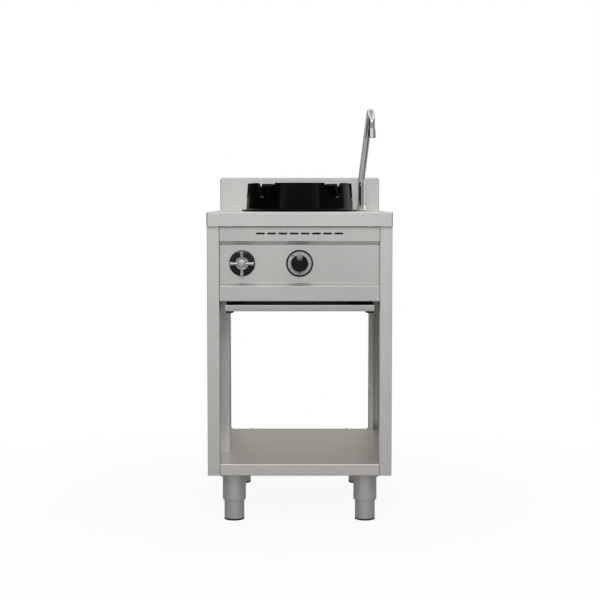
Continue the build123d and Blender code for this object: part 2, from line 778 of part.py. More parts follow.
def crown_section():
    """Radius and height points of the crown's wall, flange and spigot."""
    root_z = TOP_HEIGHT + CROWN_FLANGE_THICKNESS
    rim_top = TOP_HEIGHT + CROWN_HEIGHT
    points = [
        (crown_bore, TOP_HEIGHT - CROWN_SPIGOT),
        (spigot_radius, TOP_HEIGHT - CROWN_SPIGOT),
        (spigot_radius, TOP_HEIGHT),
        (crown_flange_radius, TOP_HEIGHT),
        (crown_flange_radius, root_z),
        (crown_base_radius, root_z),
        (crown_top_radius, rim_top),
        (crown_top_radius - CROWN_RIM_WALL, rim_top),
        (crown_bore, rim_top - CROWN_RIM_WALL),
    ]
    rounds = [
        CROWN_EDGE,
        CROWN_EDGE,
        CROWN_EDGE / 2,
        CROWN_ROUND,
        CROWN_ROUND,
        CROWN_FILLET,
        CROWN_ROUND,
        CROWN_EDGE,
        CROWN_EDGE,
    ]
    return make_face(FilletPolyline(*points, radius=rounds, close=True))


def notch_cutter():
    """Tapered U with a flared mouth, drawn out through the wall at the back."""
    radius = crown_top_radius
    rim_top = TOP_HEIGHT + CROWN_HEIGHT
    bottom = rim_top - NOTCH_DEPTH
    half_bottom = radius * tan(radians(NOTCH_BOTTOM_ANGLE))
    half_top = radius * tan(radians(NOTCH_TOP_ANGLE))
    half_lead = radius * tan(radians(NOTCH_LEAD_ANGLE))
    right = [
        (half_bottom, bottom),
        (half_top, rim_top - NOTCH_LEAD),
        (half_lead, rim_top),
        (half_lead, rim_top + NOTCH_LEAD),
    ]
    left = [(-x, z) for x, z in right[::-1]]
    rounds = [NOTCH_CORNER, NOTCH_LEAD, 0, 0, 0, 0, NOTCH_LEAD, NOTCH_CORNER]
    shape = make_face(FilletPolyline(*right, *left, radius=rounds, close=True))
    return along_y(shape, crown_bore / 2, crown_flange_radius + PAST)


def wok_crown():
    """Cast ring that carries the wok: notched all round except at the front."""
    crown = revolve(Plane.XZ * crown_section(), Axis.Z)
    cutter = notch_cutter()
    pitch = 360 / NOTCH_COUNT
    for index in range(1, NOTCH_COUNT):
        crown -= Rot(0, 0, 180 + index * pitch) * cutter
    return Pos(0, burner_y) * crown


def burner_well():
    """Pressed funnel between the worktop opening and the burner."""
    top = TOP_HEIGHT - TOP_SHEET
    low = top - WELL_DEPTH
    section = bent_sheet([
        (well_shoulder_radius + WELL_RIM_WIDTH, top),
        (well_shoulder_radius, top),
        (well_shoulder_radius, TOP_HEIGHT - CROWN_SPIGOT - FIT_GAP),
        (well_throat_radius, low),
        (well_throat_radius, low - WELL_COLLAR),
    ], SHEET, 2 * BEND)
    return Pos(0, burner_y) * revolve(Plane.XZ * section, Axis.Z)


def burner_crossbar():
    """Strap bridging the housing floor and carrying the burner."""
    half = floor_inside_x
    foot = rail_x - RAIL_FOOT + 2 * FIT_GAP
    low = floor_z + SHEET
    section = bent_sheet([
        (foot, low),
        (half, low),
        (half, crossbar_z),
        (-half, crossbar_z),
        (-half, low),
        (-foot, low),
    ], CHANNEL_SHEET, 2 * BEND)
    return along_y(section, burner_y - CROSSBAR_LENGTH / 2, burner_y + CROSSBAR_LENGTH / 2)


def mixing_tube(inset):
    """Drum, throat and widening tube along Y, drawn in by the inset."""
    cone = drum_y + DRUM_LENGTH
    throat = cone + CONE_LENGTH
    return Pos(0, 0, tube_z) * turned_y([
        (0, drum_y + inset),
        (DRUM_RADIUS - inset, drum_y + inset),
        (DRUM_RADIUS - inset, cone),
        (THROAT_RADIUS + TUBE_WALL - inset, throat),
        (TUBE_RADIUS - inset, burner_y),
        (0, burner_y),
    ])


def burner_body():
    """Cast bowl, elbow and mixing tube with an air drum, in one piece."""
    bowl_low = bowl_top_z - BOWL_HEIGHT
    outside = Pos(0, burner_y) * turned_z([
        (0, tube_z - TUBE_RADIUS),
        (TUBE_RADIUS, tube_z - TUBE_RADIUS),
        (TUBE_RADIUS, bowl_low),
        (BOWL_RADIUS - 2 * BOWL_WALL, bowl_low),
        (BOWL_RADIUS, bowl_low + 2 * BOWL_WALL),
        (BOWL_RADIUS, bowl_top_z),
        (0, bowl_top_z),
    ])
    inside = Pos(0, burner_y) * turned_z([
        (0, tube_z - TUBE_RADIUS + TUBE_WALL),
        (TUBE_RADIUS - TUBE_WALL, tube_z - TUBE_RADIUS + TUBE_WALL),
        (TUBE_RADIUS - TUBE_WALL, bowl_low + BOWL_WALL),
        (BOWL_RADIUS - 3 * BOWL_WALL, bowl_low + BOWL_WALL),
        (BOWL_RADIUS - BOWL_WALL, bowl_low + 3 * BOWL_WALL),
        (BOWL_RADIUS - BOWL_WALL, bowl_top_z + PAST),
        (0, bowl_top_z + PAST),
    ])
    foot = disc_z(0, burner_y, BURNER_FOOT_RADIUS, crossbar_z, tube_z - TUBE_RADIUS + TUBE_WALL / 2)
    casting = outside + mixing_tube(0) + foot - inside - mixing_tube(TUBE_WALL)
    port_y = drum_y + DRUM_LENGTH / 2
    port = (port_y - AIR_PORT_LENGTH / 2, port_y + AIR_PORT_LENGTH / 2)
    half = AIR_PORT_HEIGHT / 2
    reach = DRUM_RADIUS + PAST
    casting -= block((-reach, reach), port, (tube_z - half, tube_z + half))
    casting -= disc_y(0, tube_z, INJECTOR_RADIUS + HOLE_GAP, drum_y - PAST, drum_y + TUBE_WALL + PAST)
    return casting


def injector():
    """Brass injector with its hexagon, screwed into the air drum."""
    back = drum_y + TUBE_WALL
    hexagon = hexagon_y(0, tube_z, INJECTOR_HEX_RADIUS, drum_y - INJECTOR_HEX, drum_y)
    stem = disc_y(0, tube_z, INJECTOR_RADIUS, drum_y, back)
    tip = Pos(0, 0, tube_z) * turned_y([
        (0, back),
        (INJECTOR_RADIUS, back),
        (INJECTOR_RADIUS / 2, back + INJECTOR_TIP),
        (0, back + INJECTOR_TIP),
    ])
    return hexagon + stem + tip


def air_shutter():
    """Split sleeve that slides on the drum and covers the air ports."""
    middle = drum_y + DRUM_LENGTH / 2
    inner = DRUM_RADIUS + RUNNING_GAP
    outer = inner + SHUTTER_THICKNESS
    low = middle - SHUTTER_LENGTH / 2
    high = middle + SHUTTER_LENGTH / 2
    return Pos(0, 0, tube_z) * turned_y([(inner, low), (outer, low), (outer, high), (inner, high)])


def burner_head():
    """Loose ported cap that lifts off the burner bowl."""
    seat = bowl_top_z
    inner = head_spigot_radius - HEAD_WALL
    top = seat + HEAD_HEIGHT
    head = turned_z([
        (inner, seat - HEAD_SKIRT),
        (head_spigot_radius, seat - HEAD_SKIRT),
        (head_spigot_radius, seat),
        (head_radius, seat),
        (head_radius, top - HEAD_WALL),
        (head_radius - HEAD_WALL, top),
        (HEAD_BORE_RADIUS + HEAD_WALL, top - HEAD_WALL / 2),
        (HEAD_BORE_RADIUS, top - HEAD_WALL),
        (HEAD_BORE_RADIUS, top - 2 * HEAD_WALL),
        (HEAD_BORE_RADIUS + HEAD_WALL, top - 2 * HEAD_WALL),
        (inner, top - HEAD_WALL),
    ])
    slot_z = (seat + HEAD_WALL / 4, seat + HEAD_WALL / 4 + HEAD_SLOT_HEIGHT)
    reach = (inner - HEAD_WALL, head_radius + PAST)
    slot = block(reach, (-HEAD_SLOT_WIDTH / 2, HEAD_SLOT_WIDTH / 2), slot_z)
    for index in range(HEAD_SLOT_COUNT):
        head -= Rot(0, 0, (index + 0.5) * 360 / HEAD_SLOT_COUNT) * slot
    return Pos(0, burner_y) * head


def gas_valve():
    """Safety gas tap behind the panel, clamped on the gas pipe."""
    x = KNOB_X
    z = control_z
    magnet_end = valve_back_y + MAGNET_LENGTH
    outlet_low = z + VALVE_RADIUS
    half_width = VALVE_PLATE_WIDTH / 2
    half_height = VALVE_PLATE_HEIGHT / 2
    valve = disc_y(x, z, VALVE_RADIUS, valve_front_y, valve_back_y)
    valve += block(
        (x - half_width, x + half_width),
        (valve_front_y, valve_front_y + VALVE_PLATE_THICKNESS),
        (z - half_height, z + half_height),
    )
    valve += disc_y(x, z, MAGNET_RADIUS, valve_back_y, magnet_end)
    valve += block(
        (x - SADDLE_WIDTH / 2, x + SADDLE_WIDTH / 2),
        (saddle_y - SADDLE_DEPTH / 2, saddle_y + SADDLE_DEPTH / 2),
        (rail_pipe_z - RAIL_PIPE_RADIUS - SOCKET_WALL, z),
    )
    valve += disc_z(x, saddle_y, SUPPLY_PIPE_RADIUS + SOCKET_WALL, z, outlet_low + OUTLET_RISE)
    spindle_end = valve_front_y + SPINDLE_DEPTH + PUSH_TRAVEL + PAST
    valve -= disc_y(x, z, SPINDLE_RADIUS + RUNNING_GAP, valve_front_y - PAST, spindle_end)
    valve -= disc_y(x, z, PUSH_ROD_RADIUS + RUNNING_GAP, spindle_end - PAST, magnet_end - MAGNET_END_WALL)
    valve -= Pos(x, saddle_y, rail_pipe_z) * Rot(0, 90, 0) * Cylinder(manifold_bore, SADDLE_WIDTH + 2 * PAST)
    return valve - disc_z(x, saddle_y, supply_bore, outlet_low, outlet_low + OUTLET_RISE + PAST)


def gas_push_rod():
    """Pin behind the spindle that opens the safety magnet when pushed."""
    start = valve_front_y + SPINDLE_DEPTH
    end = valve_back_y + MAGNET_LENGTH - MAGNET_END_WALL - PUSH_TRAVEL - PAST
    return disc_y(KNOB_X, control_z, PUSH_ROD_RADIUS, start, end)


def spindle_section(extra):
    """Round shaft with one flat."""
    radius = SPINDLE_RADIUS + extra
    flat = SPINDLE_FLAT + extra
    cut = Pos(0, flat + radius) * Rectangle(3 * radius, 2 * radius)
    return Circle(radius) - cut


def gas_spindle():
    """Turning shaft of the gas tap, flattened where the knob fits."""
    neck = knob_back_y + PAST
    shaft = disc_y(KNOB_X, control_z, SPINDLE_RADIUS, neck, valve_front_y + SPINDLE_DEPTH)
    return shaft + Pos(KNOB_X, 0, control_z) * along_y(spindle_section(0), spindle_tip_y, neck)


def burner_knob():
    """Round skirt with a grip across it, rounded most at its upper end, bored for the spindle."""
    back = knob_back_y
    skirt_front = back - KNOB_SKIRT
    front = skirt_front - KNOB_LENGTH
    face_radius = KNOB_RADIUS - KNOB_DRAFT - KNOB_ROUND
    skirt = turned_y([
        (0, back),
        (KNOB_RADIUS, back),
        (KNOB_RADIUS - KNOB_DRAFT, skirt_front + KNOB_ROUND),
        (face_radius, skirt_front),
        (0, skirt_front),
    ])
    half = KNOB_GRIP_WIDTH / 2
    end = half_chord(KNOB_RADIUS - KNOB_DRAFT, half)
    root = skirt_front + PAST
    side = make_face(FilletPolyline(
        (root, -end),
        (root, end),
        (front, end),
        (front, -end),
        radius=[0, 0, KNOB_NOSE, KNOB_HEEL],
        close=True,
    ))
    grip = along_x(side, -half, half)
    rims = grip.faces().filter_by(Axis.X).edges()
    grip = fillet([rim for rim in rims if rim.center().Y < skirt_front], KNOB_ROUND)
    bore = along_y(spindle_section(RUNNING_GAP), spindle_tip_y - BORE_END_GAP, back + PAST)
    return Pos(KNOB_X, 0, control_z) * (skirt + grip - bore)


def half_chord(radius, from_middle):
    """Half chord of a circle at a distance from its middle."""
    return (radius**2 - from_middle**2) ** 0.5


def knob_bezel():
    """Black ring around the dial."""
    front = recess_y - BEZEL_HEIGHT
    ring = turned_y([
        (dial_radius, recess_y),
        (dial_radius, front + BEZEL_EDGE),
        (dial_radius + BEZEL_EDGE, front),
        (BEZEL_RADIUS - BEZEL_EDGE, front),
        (BEZEL_RADIUS, front + BEZEL_EDGE),
        (BEZEL_RADIUS, recess_y),
    ])
    return Pos(KNOB_X, 0, control_z) * ring


def knob_dial():
    """Flat metal dial that fills the bezel."""
    front = recess_y - DIAL_THICKNESS
    hole = SPINDLE_RADIUS + SHAFT_HOLE_GAP / 2
    dial = disc_y(KNOB_X, control_z, dial_radius, front, recess_y)
    return dial - disc_y(KNOB_X, control_z, hole, front - PAST, recess_y + PAST)


def gas_manifold():
    """Steel gas pipe from the rear inlet to the tap."""
    z = rail_pipe_z
    end = body_back_y - SHEET - MANIFOLD_SOCKET
    points = [(-MANIFOLD_END_X, saddle_y, z), (MANIFOLD_X, saddle_y, z), (MANIFOLD_X, end, z)]
    return pipe(points, RAIL_PIPE_RADIUS, PIPE_BEND, PIPE_WALL)


def gas_inlet_fitting():
    """Threaded gas connection through the rear panel."""
    x = MANIFOLD_X
    z = rail_pipe_z
    seat = body_back_y - SHEET
    low = seat - GAS_HEX_LENGTH
    tip = gas_neck_y + GAS_THREAD_LENGTH
    fitting = hexagon_y(x, z, GAS_HEX_RADIUS, low, seat)
    fitting += disc_y(x, z, GAS_NECK_RADIUS, seat, gas_neck_y)
    fitting += disc_y(x, z, GAS_THREAD_RADIUS, gas_neck_y, tip)
    fitting -= disc_y(x, z, manifold_bore, low - PAST, seat - MANIFOLD_SOCKET)
    return fitting - disc_y(x, z, RAIL_PIPE_RADIUS - PIPE_WALL, seat - MANIFOLD_SOCKET - PAST, tip + PAST)


def burner_supply_pipe():
    """Bent pipe from the tap's outlet to the injector."""
    low = control_z + VALVE_RADIUS
    points = [(KNOB_X, saddle_y, low), (KNOB_X, saddle_y, tube_z), (KNOB_X, drum_y - INJECTOR_HEX, tube_z)]
    return pipe(points, SUPPLY_PIPE_RADIUS, SUPPLY_PIPE_BEND, SUPPLY_PIPE_WALL)


def around_burner(turn):
    """Point beside the burner bowl, turned from +X."""
    return (pilot_radius * cos(radians(turn)), burner_y + pilot_radius * sin(radians(turn)))


def pilot_burner():
    """Small hooded pilot jet on an arm beside the burner bowl."""
    x, y = around_burner(PILOT_TURN)
    shoulder = pilot_z + PILOT_BODY_HEIGHT
    tip = pilot_z + PILOT_DROP
    top = pilot_z + PILOT_HEIGHT
    jet = Pos(x, y) * turned_z([
        (0, pilot_z),
        (PILOT_BODY_RADIUS, pilot_z),
        (PILOT_BODY_RADIUS, shoulder),
        (PILOT_TIP_RADIUS, tip),
        (PILOT_TIP_RADIUS, top),
        (0, top),
    ])
    jet -= disc_z(x, y, PILOT_BORE_RADIUS, tip, top + PAST)
    arm_low = pilot_z + PILOT_ARM_THICKNESS
    arm = block(
        (BOWL_RADIUS, pilot_radius),
        (-PILOT_ARM_WIDTH / 2, PILOT_ARM_WIDTH / 2),
        (arm_low, arm_low + PILOT_ARM_THICKNESS),
    )
    return jet + Pos(0, burner_y) * Rot(0, 0, PILOT_TURN) * arm


def pilot_tube():
    """Thin gas tube from the tap to the pilot."""
    x, y = around_burner(PILOT_TURN)
    start_y = valve_front_y + PILOT_OUTLET_REACH
    z = control_z - PILOT_TUBE_OFFSET
    points = [
        (KNOB_X - VALVE_RADIUS, start_y, z),
        (KNOB_X - PILOT_TUBE_SIDE, start_y, z),
        (x, start_y + PILOT_TUBE_SIDE, z),
        (x, y, z),
        (x, y, pilot_z),
    ]
    return pipe(points, PILOT_TUBE_RADIUS, THIN_TUBE_BENDS)


def thermocouple():
    """Sensing rod beside the pilot with its copper lead to the tap."""
    x, y = around_burner(SENSOR_TURN)
    back = valve_back_y + MAGNET_LENGTH
    rod_low = sensor_top_z - SENSOR_LENGTH
    lead_z = control_z - LEAD_DROP
    rod = disc_z(x, y, SENSOR_RADIUS, rod_low, sensor_top_z)
    rod = fillet(rod.edges().sort_by(Axis.Z)[-1], SENSOR_ROUND)
    points = [
        (KNOB_X, back + LEAD_NUT_LENGTH, control_z),
        (KNOB_X, back + LEAD_START, control_z),
        (x, y - LEAD_APPROACH, lead_z),
        (x, y, lead_z),
        (x, y, rod_low),
    ]
    nut = hexagon_y(KNOB_X, control_z, LEAD_NUT_RADIUS, back, back + LEAD_NUT_LENGTH)
    return rod + pipe(points, LEAD_RADIUS, THIN_TUBE_BENDS) + nut


def water_valve():
    """Screw-down water tap behind the panel."""
    x = water_x
    z = control_z
    front = valve_front_y
    back = water_valve_back_y
    socket = WATER_PIPE_RADIUS + SOCKET_WALL
    outlet_top = z + WATER_OUTLET_RISE
    valve = hexagon_y(x, z, WATER_HEX_RADIUS, front, front + WATER_HEX_LENGTH)
    valve += disc_y(x, z, WATER_VALVE_RADIUS, front + WATER_HEX_LENGTH, back)
    valve += disc_z(x, water_outlet_y, socket, z, outlet_top)
    valve += disc_y(x, z, socket, back, back + WATER_REAR_SOCKET)
    spindle_end = front + SPINDLE_DEPTH
    valve -= disc_y(x, z, WATER_SPINDLE_RADIUS + RUNNING_GAP, front - PAST, spindle_end)
    valve -= disc_z(x, water_outlet_y, water_bore, outlet_top - WATER_OUTLET_SOCKET, outlet_top + PAST)
    return valve - disc_y(x, z, water_bore, back, back + WATER_REAR_SOCKET + PAST)


def water_escutcheon():
    """Round black plate under the water handle."""
    front = recess_y - ESCUTCHEON_THICKNESS
    hole = WATER_SPINDLE_RADIUS + SHAFT_HOLE_GAP / 2
    plate = turned_y([
        (hole, recess_y),
        (hole, front),
        (ESCUTCHEON_RADIUS - ESCUTCHEON_BEVEL_WIDTH, front),
        (ESCUTCHEON_RADIUS, front + ESCUTCHEON_BEVEL_DEPTH),
        (ESCUTCHEON_RADIUS, recess_y),
    ])
    return Pos(water_x, 0, control_z) * plate


def water_spindle():
    """Turning spindle of the water tap."""
    tip = handle_back_y - SPINDLE_IN_HUB
    end = valve_front_y + SPINDLE_DEPTH - 2 * PAST
    return disc_y(water_x, control_z, WATER_SPINDLE_RADIUS, tip, end)


def water_handle():
    """Cross handle: a bell-shaped hub with four spokes that widen outwards."""
    back = handle_back_y
    front = back - HANDLE_HUB_LENGTH
    neck = HANDLE_CAP_RADIUS + HUB_NECK_WALL
    hub = revolve(make_face(FilletPolyline(
        (0, back),
        (HANDLE_HUB_RADIUS, back),
        (HANDLE_HUB_RADIUS, back - HUB_FLANGE),
        (neck, back - HUB_SHOULDER),
        (neck, front),
        (0, front),
        radius=[0, BEND, 3 * BEND, 5 * BEND, SPOKE_ROUND, 0],
        close=True,
    )), Axis.Y)
    tip = HANDLE_SPAN / 2
    spoke = revolve(Plane.XZ * make_face(FilletPolyline(
        (0, 0),
        (SPOKE_ROOT_RADIUS, 0),
        (SPOKE_ROOT_RADIUS, neck),
        (SPOKE_TIP_RADIUS, tip),
        (0, tip),
        radius=[0, 0, 8 * BEND, SPOKE_ROUND, 0],
        close=True,
    )), Axis.Z)
    for turn in range(0, 360, 90):
        hub += Pos(0, front + SPOKE_SETBACK, 0) * Rot(0, turn, 0) * spoke
    bore_end = back - SPINDLE_IN_HUB - BORE_END_GAP
    hub -= disc_y(0, 0, WATER_SPINDLE_RADIUS + RUNNING_GAP, bore_end, back + PAST)
    return Pos(water_x, 0, control_z) * hub


def handle_cap():
    """Domed cap over the handle's screw."""
    back = handle_back_y - HANDLE_HUB_LENGTH
    front = back - HANDLE_CAP_HEIGHT
    cap = revolve(make_face(FilletPolyline(
        (0, back),
        (HANDLE_CAP_RADIUS, back),
        (HANDLE_CAP_RADIUS - BEND, front),
        (0, front),
        radius=[0, 0, HANDLE_CAP_HEIGHT / 2, 0],
        close=True,
    )), Axis.Y)
    return Pos(water_x, 0, control_z) * cap


def water_inlet_pipe():
    """Copper pipe up the duct and forward to the water tap."""
    points = [
        (water_pipe_x, duct_middle_y, WATER_PIPE_END),
        (water_pipe_x, duct_middle_y, control_z),
        (water_x, duct_middle_y, control_z),
        (water_x, water_valve_back_y + PAST, control_z),
    ]
    return pipe(points, WATER_PIPE_RADIUS, PIPE_BEND, WATER_PIPE_WALL)


def water_inlet_fitting():
    """Threaded water connection below the shelf."""
    x = water_pipe_x
    y = duct_middle_y
    nut_low = WATER_PIPE_END - WATER_NUT_LENGTH / 2
    nut_top = nut_low + WATER_NUT_LENGTH
    thread_low = nut_low - WATER_THREAD_LENGTH
    fitting = hexagon_z(x, y, WATER_NUT_RADIUS, nut_low, nut_top)
    fitting += disc_z(x, y, WATER_THREAD_RADIUS, thread_low, nut_low)
    fitting -= disc_z(x, y, water_bore, WATER_PIPE_END, nut_top + PAST)
    bore = WATER_PIPE_RADIUS - WATER_PIPE_WALL
    return fitting - disc_z(x, y, bore, thread_low - PAST, WATER_PIPE_END + PAST)


def tap_supply_pipe():
    """Copper pipe from the water tap, round the burner, to the spout."""
    low = control_z + WATER_OUTLET_RISE - WATER_OUTLET_SOCKET + PAST
    points = [
        (water_x, water_outlet_y, low),
        (water_x, water_outlet_y, supply_run_z),
        (tap_x, water_outlet_y, supply_run_z),
        (tap_x, tap_y, supply_run_z),
        (tap_x, tap_y, shank_low_z + TAP_PIPE_SOCKET),
    ]
    last_bend = 2 * WATER_PIPE_RADIUS
    return pipe(points, WATER_PIPE_RADIUS, [PIPE_BEND, PIPE_BEND, last_bend], WATER_PIPE_WALL)


def tap_base():
    """Spout socket on the worktop, with its shank through the hole."""
    flange_top = TOP_HEIGHT + TAP_FLANGE_HEIGHT
    collar_low = spout_base_z - TAP_COLLAR_HEIGHT
    base = disc_z(tap_x, tap_y, TAP_FLANGE_RADIUS, TOP_HEIGHT, flange_top)
    base = fillet(base.edges().sort_by(Axis.Z)[-1], TAP_FLANGE_ROUND)
    base += hexagon_z(tap_x, tap_y, TAP_NUT_RADIUS, flange_top, collar_low)
    base += disc_z(tap_x, tap_y, TAP_NUT_RADIUS - TAP_COLLAR_HEIGHT, collar_low, spout_base_z)
    base += disc_z(tap_x, tap_y, TAP_SHANK_RADIUS, shank_low_z, TOP_HEIGHT)
    socket_low = spout_base_z - SPOUT_SPIGOT_LENGTH - PAST
    base -= disc_z(tap_x, tap_y, SPOUT_SPIGOT_RADIUS + RUNNING_GAP, socket_low, spout_base_z + PAST)
    base -= disc_z(tap_x, tap_y, TAP_BORE_RADIUS, shank_low_z - PAST, spout_base_z)
    return base - disc_z(tap_x, tap_y, water_bore, shank_low_z - PAST, shank_low_z + TAP_PIPE_SOCKET)


def tap_lock_nut():
    """Hexagonal nut that clamps the spout's socket under the worktop."""
    top = TOP_HEIGHT - TOP_SHEET
    low = top - LOCK_NUT_HEIGHT
    nut = hexagon_z(tap_x, tap_y, LOCK_NUT_RADIUS, low, top)
    return nut - disc_z(tap_x, tap_y, TAP_SHANK_RADIUS + HOLE_GAP, low - PAST, top + PAST)


def spout_route():
    """Points of the spout in its own plane, as reach and height.

    The arm slopes so that the crook's top comes out at the stated height.
    """
    knee = TOP_HEIGHT + SPOUT_KNEE_RISE
    apex = TOP_HEIGHT + SPOUT_APEX_RISE - SPOUT_RADIUS
    corner = apex
    for _ in range(20):
        slope = atan2(corner - knee, SPOUT_REACH)
        corner = apex + SPOUT_CROOK_BEND * (tan((radians(90) + slope) / 2) - 1)
    mouth = TOP_HEIGHT + SPOUT_MOUTH_RISE + NOZZLE_LENGTH / 2
    return [(0, spout_base_z), (0, knee), (SPOUT_REACH, corner), (SPOUT_REACH, mouth)]


def spout_place():
    """Places the spout's own plane: over the tap hole, turned off straight ahead."""
    return Pos(tap_x, tap_y, 0) * Rot(0, 0, SPOUT_TURN)


def tap_spout():
    """Chromed tube: upright, sloping arm and crook, with a turned spigot."""
    points = [(0, -reach, z) for reach, z in spout_route()]
    tube = pipe(points, SPOUT_RADIUS, [SPOUT_KNEE_BEND, SPOUT_CROOK_BEND], SPOUT_WALL)
    low = spout_base_z - SPOUT_SPIGOT_LENGTH
    plug_top = spout_base_z + SPOUT_PLUG_LENGTH
    spigot = disc_z(0, 0, SPOUT_SPIGOT_RADIUS, low, plug_top)
    spigot += disc_z(0, 0, SPOUT_RADIUS - SPOUT_WALL / 2, spout_base_z, plug_top)
    spigot -= disc_z(0, 0, TAP_BORE_RADIUS, low - PAST, plug_top + PAST)
    return spout_place() * (tube + spigot)


def spout_nozzle():
    """Flared outlet ring on the end of the spout."""
    low = TOP_HEIGHT + SPOUT_MOUTH_RISE
    high = low + NOZZLE_LENGTH
    middle = low + NOZZLE_LENGTH / 2
    nozzle = revolve(Plane.XZ * make_face(FilletPolyline(
        (spout_bore, low),
        (SPOUT_RADIUS + NOZZLE_WALL, low),
        (SPOUT_RADIUS + NOZZLE_TOP_WALL, high),
        (SPOUT_RADIUS, high),
        (SPOUT_RADIUS, middle),
        (spout_bore, middle),
        radius=[*NOZZLE_ROUNDS, 0, 0, 0],
        close=True,
    )), Axis.Z)
    return spout_place() * Pos(0, -SPOUT_REACH, 0) * nozzle


def foot_sleeve(x, y):
    """Upper sleeve of a foot with the stud that fixes it."""
    low = BODY_UNDERSIDE - SLEEVE_LENGTH
    sleeve = turned_z([
        (sleeve_bore, low),
        (sleeve_radius - SLEEVE_CHAMFER, low),
        (sleeve_radius, low + SLEEVE_CHAMFER),
        (sleeve_radius, BODY_UNDERSIDE),
        (STUD_RADIUS, BODY_UNDERSIDE),
        (STUD_RADIUS, BODY_UNDERSIDE + STUD_RISE),
        (0, BODY_UNDERSIDE + STUD_RISE),
        (0, BODY_UNDERSIDE - SLEEVE_CAP),
        (sleeve_bore, BODY_UNDERSIDE - SLEEVE_CAP),
    ])
    return Pos(x, y) * sleeve


def foot_leg(x, y):
    """Lower tube of a foot, which screws in and out of the sleeve."""
    top = BODY_UNDERSIDE - SLEEVE_LENGTH + LEG_ENGAGED
    inner = LEG_RADIUS - LEG_WALL
    leg = turned_z([
        (0, PAD_HEIGHT),
        (LEG_RADIUS, PAD_HEIGHT),
        (LEG_RADIUS, top),
        (inner, top),
        (inner, PAD_HEIGHT + LEG_WALL),
        (0, PAD_HEIGHT + LEG_WALL),
    ])
    return Pos(x, y) * leg


def foot_pad(x, y):
    """Black pad that stands on the floor."""
    pad = disc_z(x, y, LEG_RADIUS + PAD_OVERHANG, 0, PAD_HEIGHT)
    return chamfer(pad.edges().sort_by(Axis.Z)[0], PAD_CHAMFER)


def foot_nuts():
    """Nuts on the foot studs, inside the base channels."""
    low = BODY_UNDERSIDE + CHANNEL_SHEET
    nuts = []
    for x, y in foot_places().values():
        nut = hexagon_z(x, y, NUT_RADIUS, low, low + NUT_HEIGHT)
        nuts.append(nut - disc_z(x, y, STUD_RADIUS + HOLE_GAP, low - PAST, low + NUT_HEIGHT + PAST))
    return Compound(children=[solid for nut in nuts for solid in nut.solids()])


def dome_screw(x, y, seat):
    """Domed screw pushed up from below, its head under the seat."""
    head = revolve(Plane.XZ * make_face(FilletPolyline(
        (0, seat),
        (SCREW_HEAD_RADIUS, seat),
        (SCREW_HEAD_RADIUS, seat - SCREW_HEAD_HEIGHT),
        (0, seat - SCREW_HEAD_HEIGHT),
        radius=[0, 0, SCREW_HEAD_HEIGHT - SCREW_EDGE, 0],
        close=True,
    )), Axis.Z)
    return Pos(x, y) * head + disc_z(x, y, SCREW_RADIUS, seat, seat + SCREW_LENGTH)


def body_screws():
    """Screws that hold the worktop and the shelf to the frame."""
    screws = [dome_screw(x, y, rim_z) for x, y in top_screw_places()]
    screws += [dome_screw(x, y, BODY_UNDERSIDE) for x, y in shelf_screw_places()]
    return Compound(children=[solid for screw in screws for solid in screw.solids()])


def all_parts():
    """Every sub-part by name."""
    side = right_side_panel()
    channel = right_base_channel()
    rail = left_tray_rail()
    notch_z = (BODY_UNDERSIDE - PAST, BODY_UNDERSIDE + SHEET + PAST)
    pipe_notch = disc_z(water_pipe_x, duct_middle_y, WATER_PIPE_RADIUS + FIT_GAP, *notch_z)
    parts = {
        "worktop": worktop(),
        "splashback": splashback(),
        "right_side_panel": side,
        "left_side_panel": mirrored(side) - pipe_notch,
        "front_panel": front_panel(),
        "rear_panel": rear_panel(),
        "casing_floor": casing_floor(),
        "lower_shelf": lower_shelf(),
        "right_base_channel": channel,
        "left_base_channel": mirrored(channel),
        "service_duct": service_duct(),
        "left_tray_rail": rail,
        "right_tray_rail": mirrored(rail),
        "drip_tray": drip_tray(),
        "wok_crown": wok_crown(),
        "burner_well": burner_well(),
        "burner_crossbar": burner_crossbar(),
        "burner_body": burner_body(),
        "injector": injector(),
        "air_shutter": air_shutter(),
        "burner_head": burner_head(),
        "gas_valve": gas_valve(),
        "gas_push_rod": gas_push_rod(),
        "gas_spindle": gas_spindle(),
        "burner_knob": burner_knob(),
        "knob_bezel": knob_bezel(),
        "knob_dial": knob_dial(),
        "gas_manifold": gas_manifold(),
        "gas_inlet_fitting": gas_inlet_fitting(),
        "burner_supply_pipe": burner_supply_pipe(),
        "pilot_burner": pilot_burner(),
        "pilot_tube": pilot_tube(),
        "thermocouple": thermocouple(),
        "water_valve": water_valve(),
        "water_escutcheon": water_escutcheon(),
        "water_spindle": water_spindle(),
        "water_handle": water_handle(),
        "handle_cap": handle_cap(),
        "water_inlet_pipe": water_inlet_pipe(),
        "water_inlet_fitting": water_inlet_fitting(),
        "tap_supply_pipe": tap_supply_pipe(),
        "tap_base": tap_base(),
        "tap_lock_nut": tap_lock_nut(),
        "tap_spout": tap_spout(),
        "spout_nozzle": spout_nozzle(),
        "foot_nuts": foot_nuts(),
        "body_screws": body_screws(),
    }
    for corner, (x, y) in foot_places().items():
        parts[f"{corner}_foot_sleeve"] = foot_sleeve(x, y)
        parts[f"{corner}_foot_leg"] = foot_leg(x, y)
        parts[f"{corner}_foot_pad"] = foot_pad(x, y)
    return parts


os.makedirs("parts", exist_ok=True)
for name, shape in all_parts().items():
    export_step(shape, f"parts/{name}.step")
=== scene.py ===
from math import cos, pi, radians, sin, tan, tau

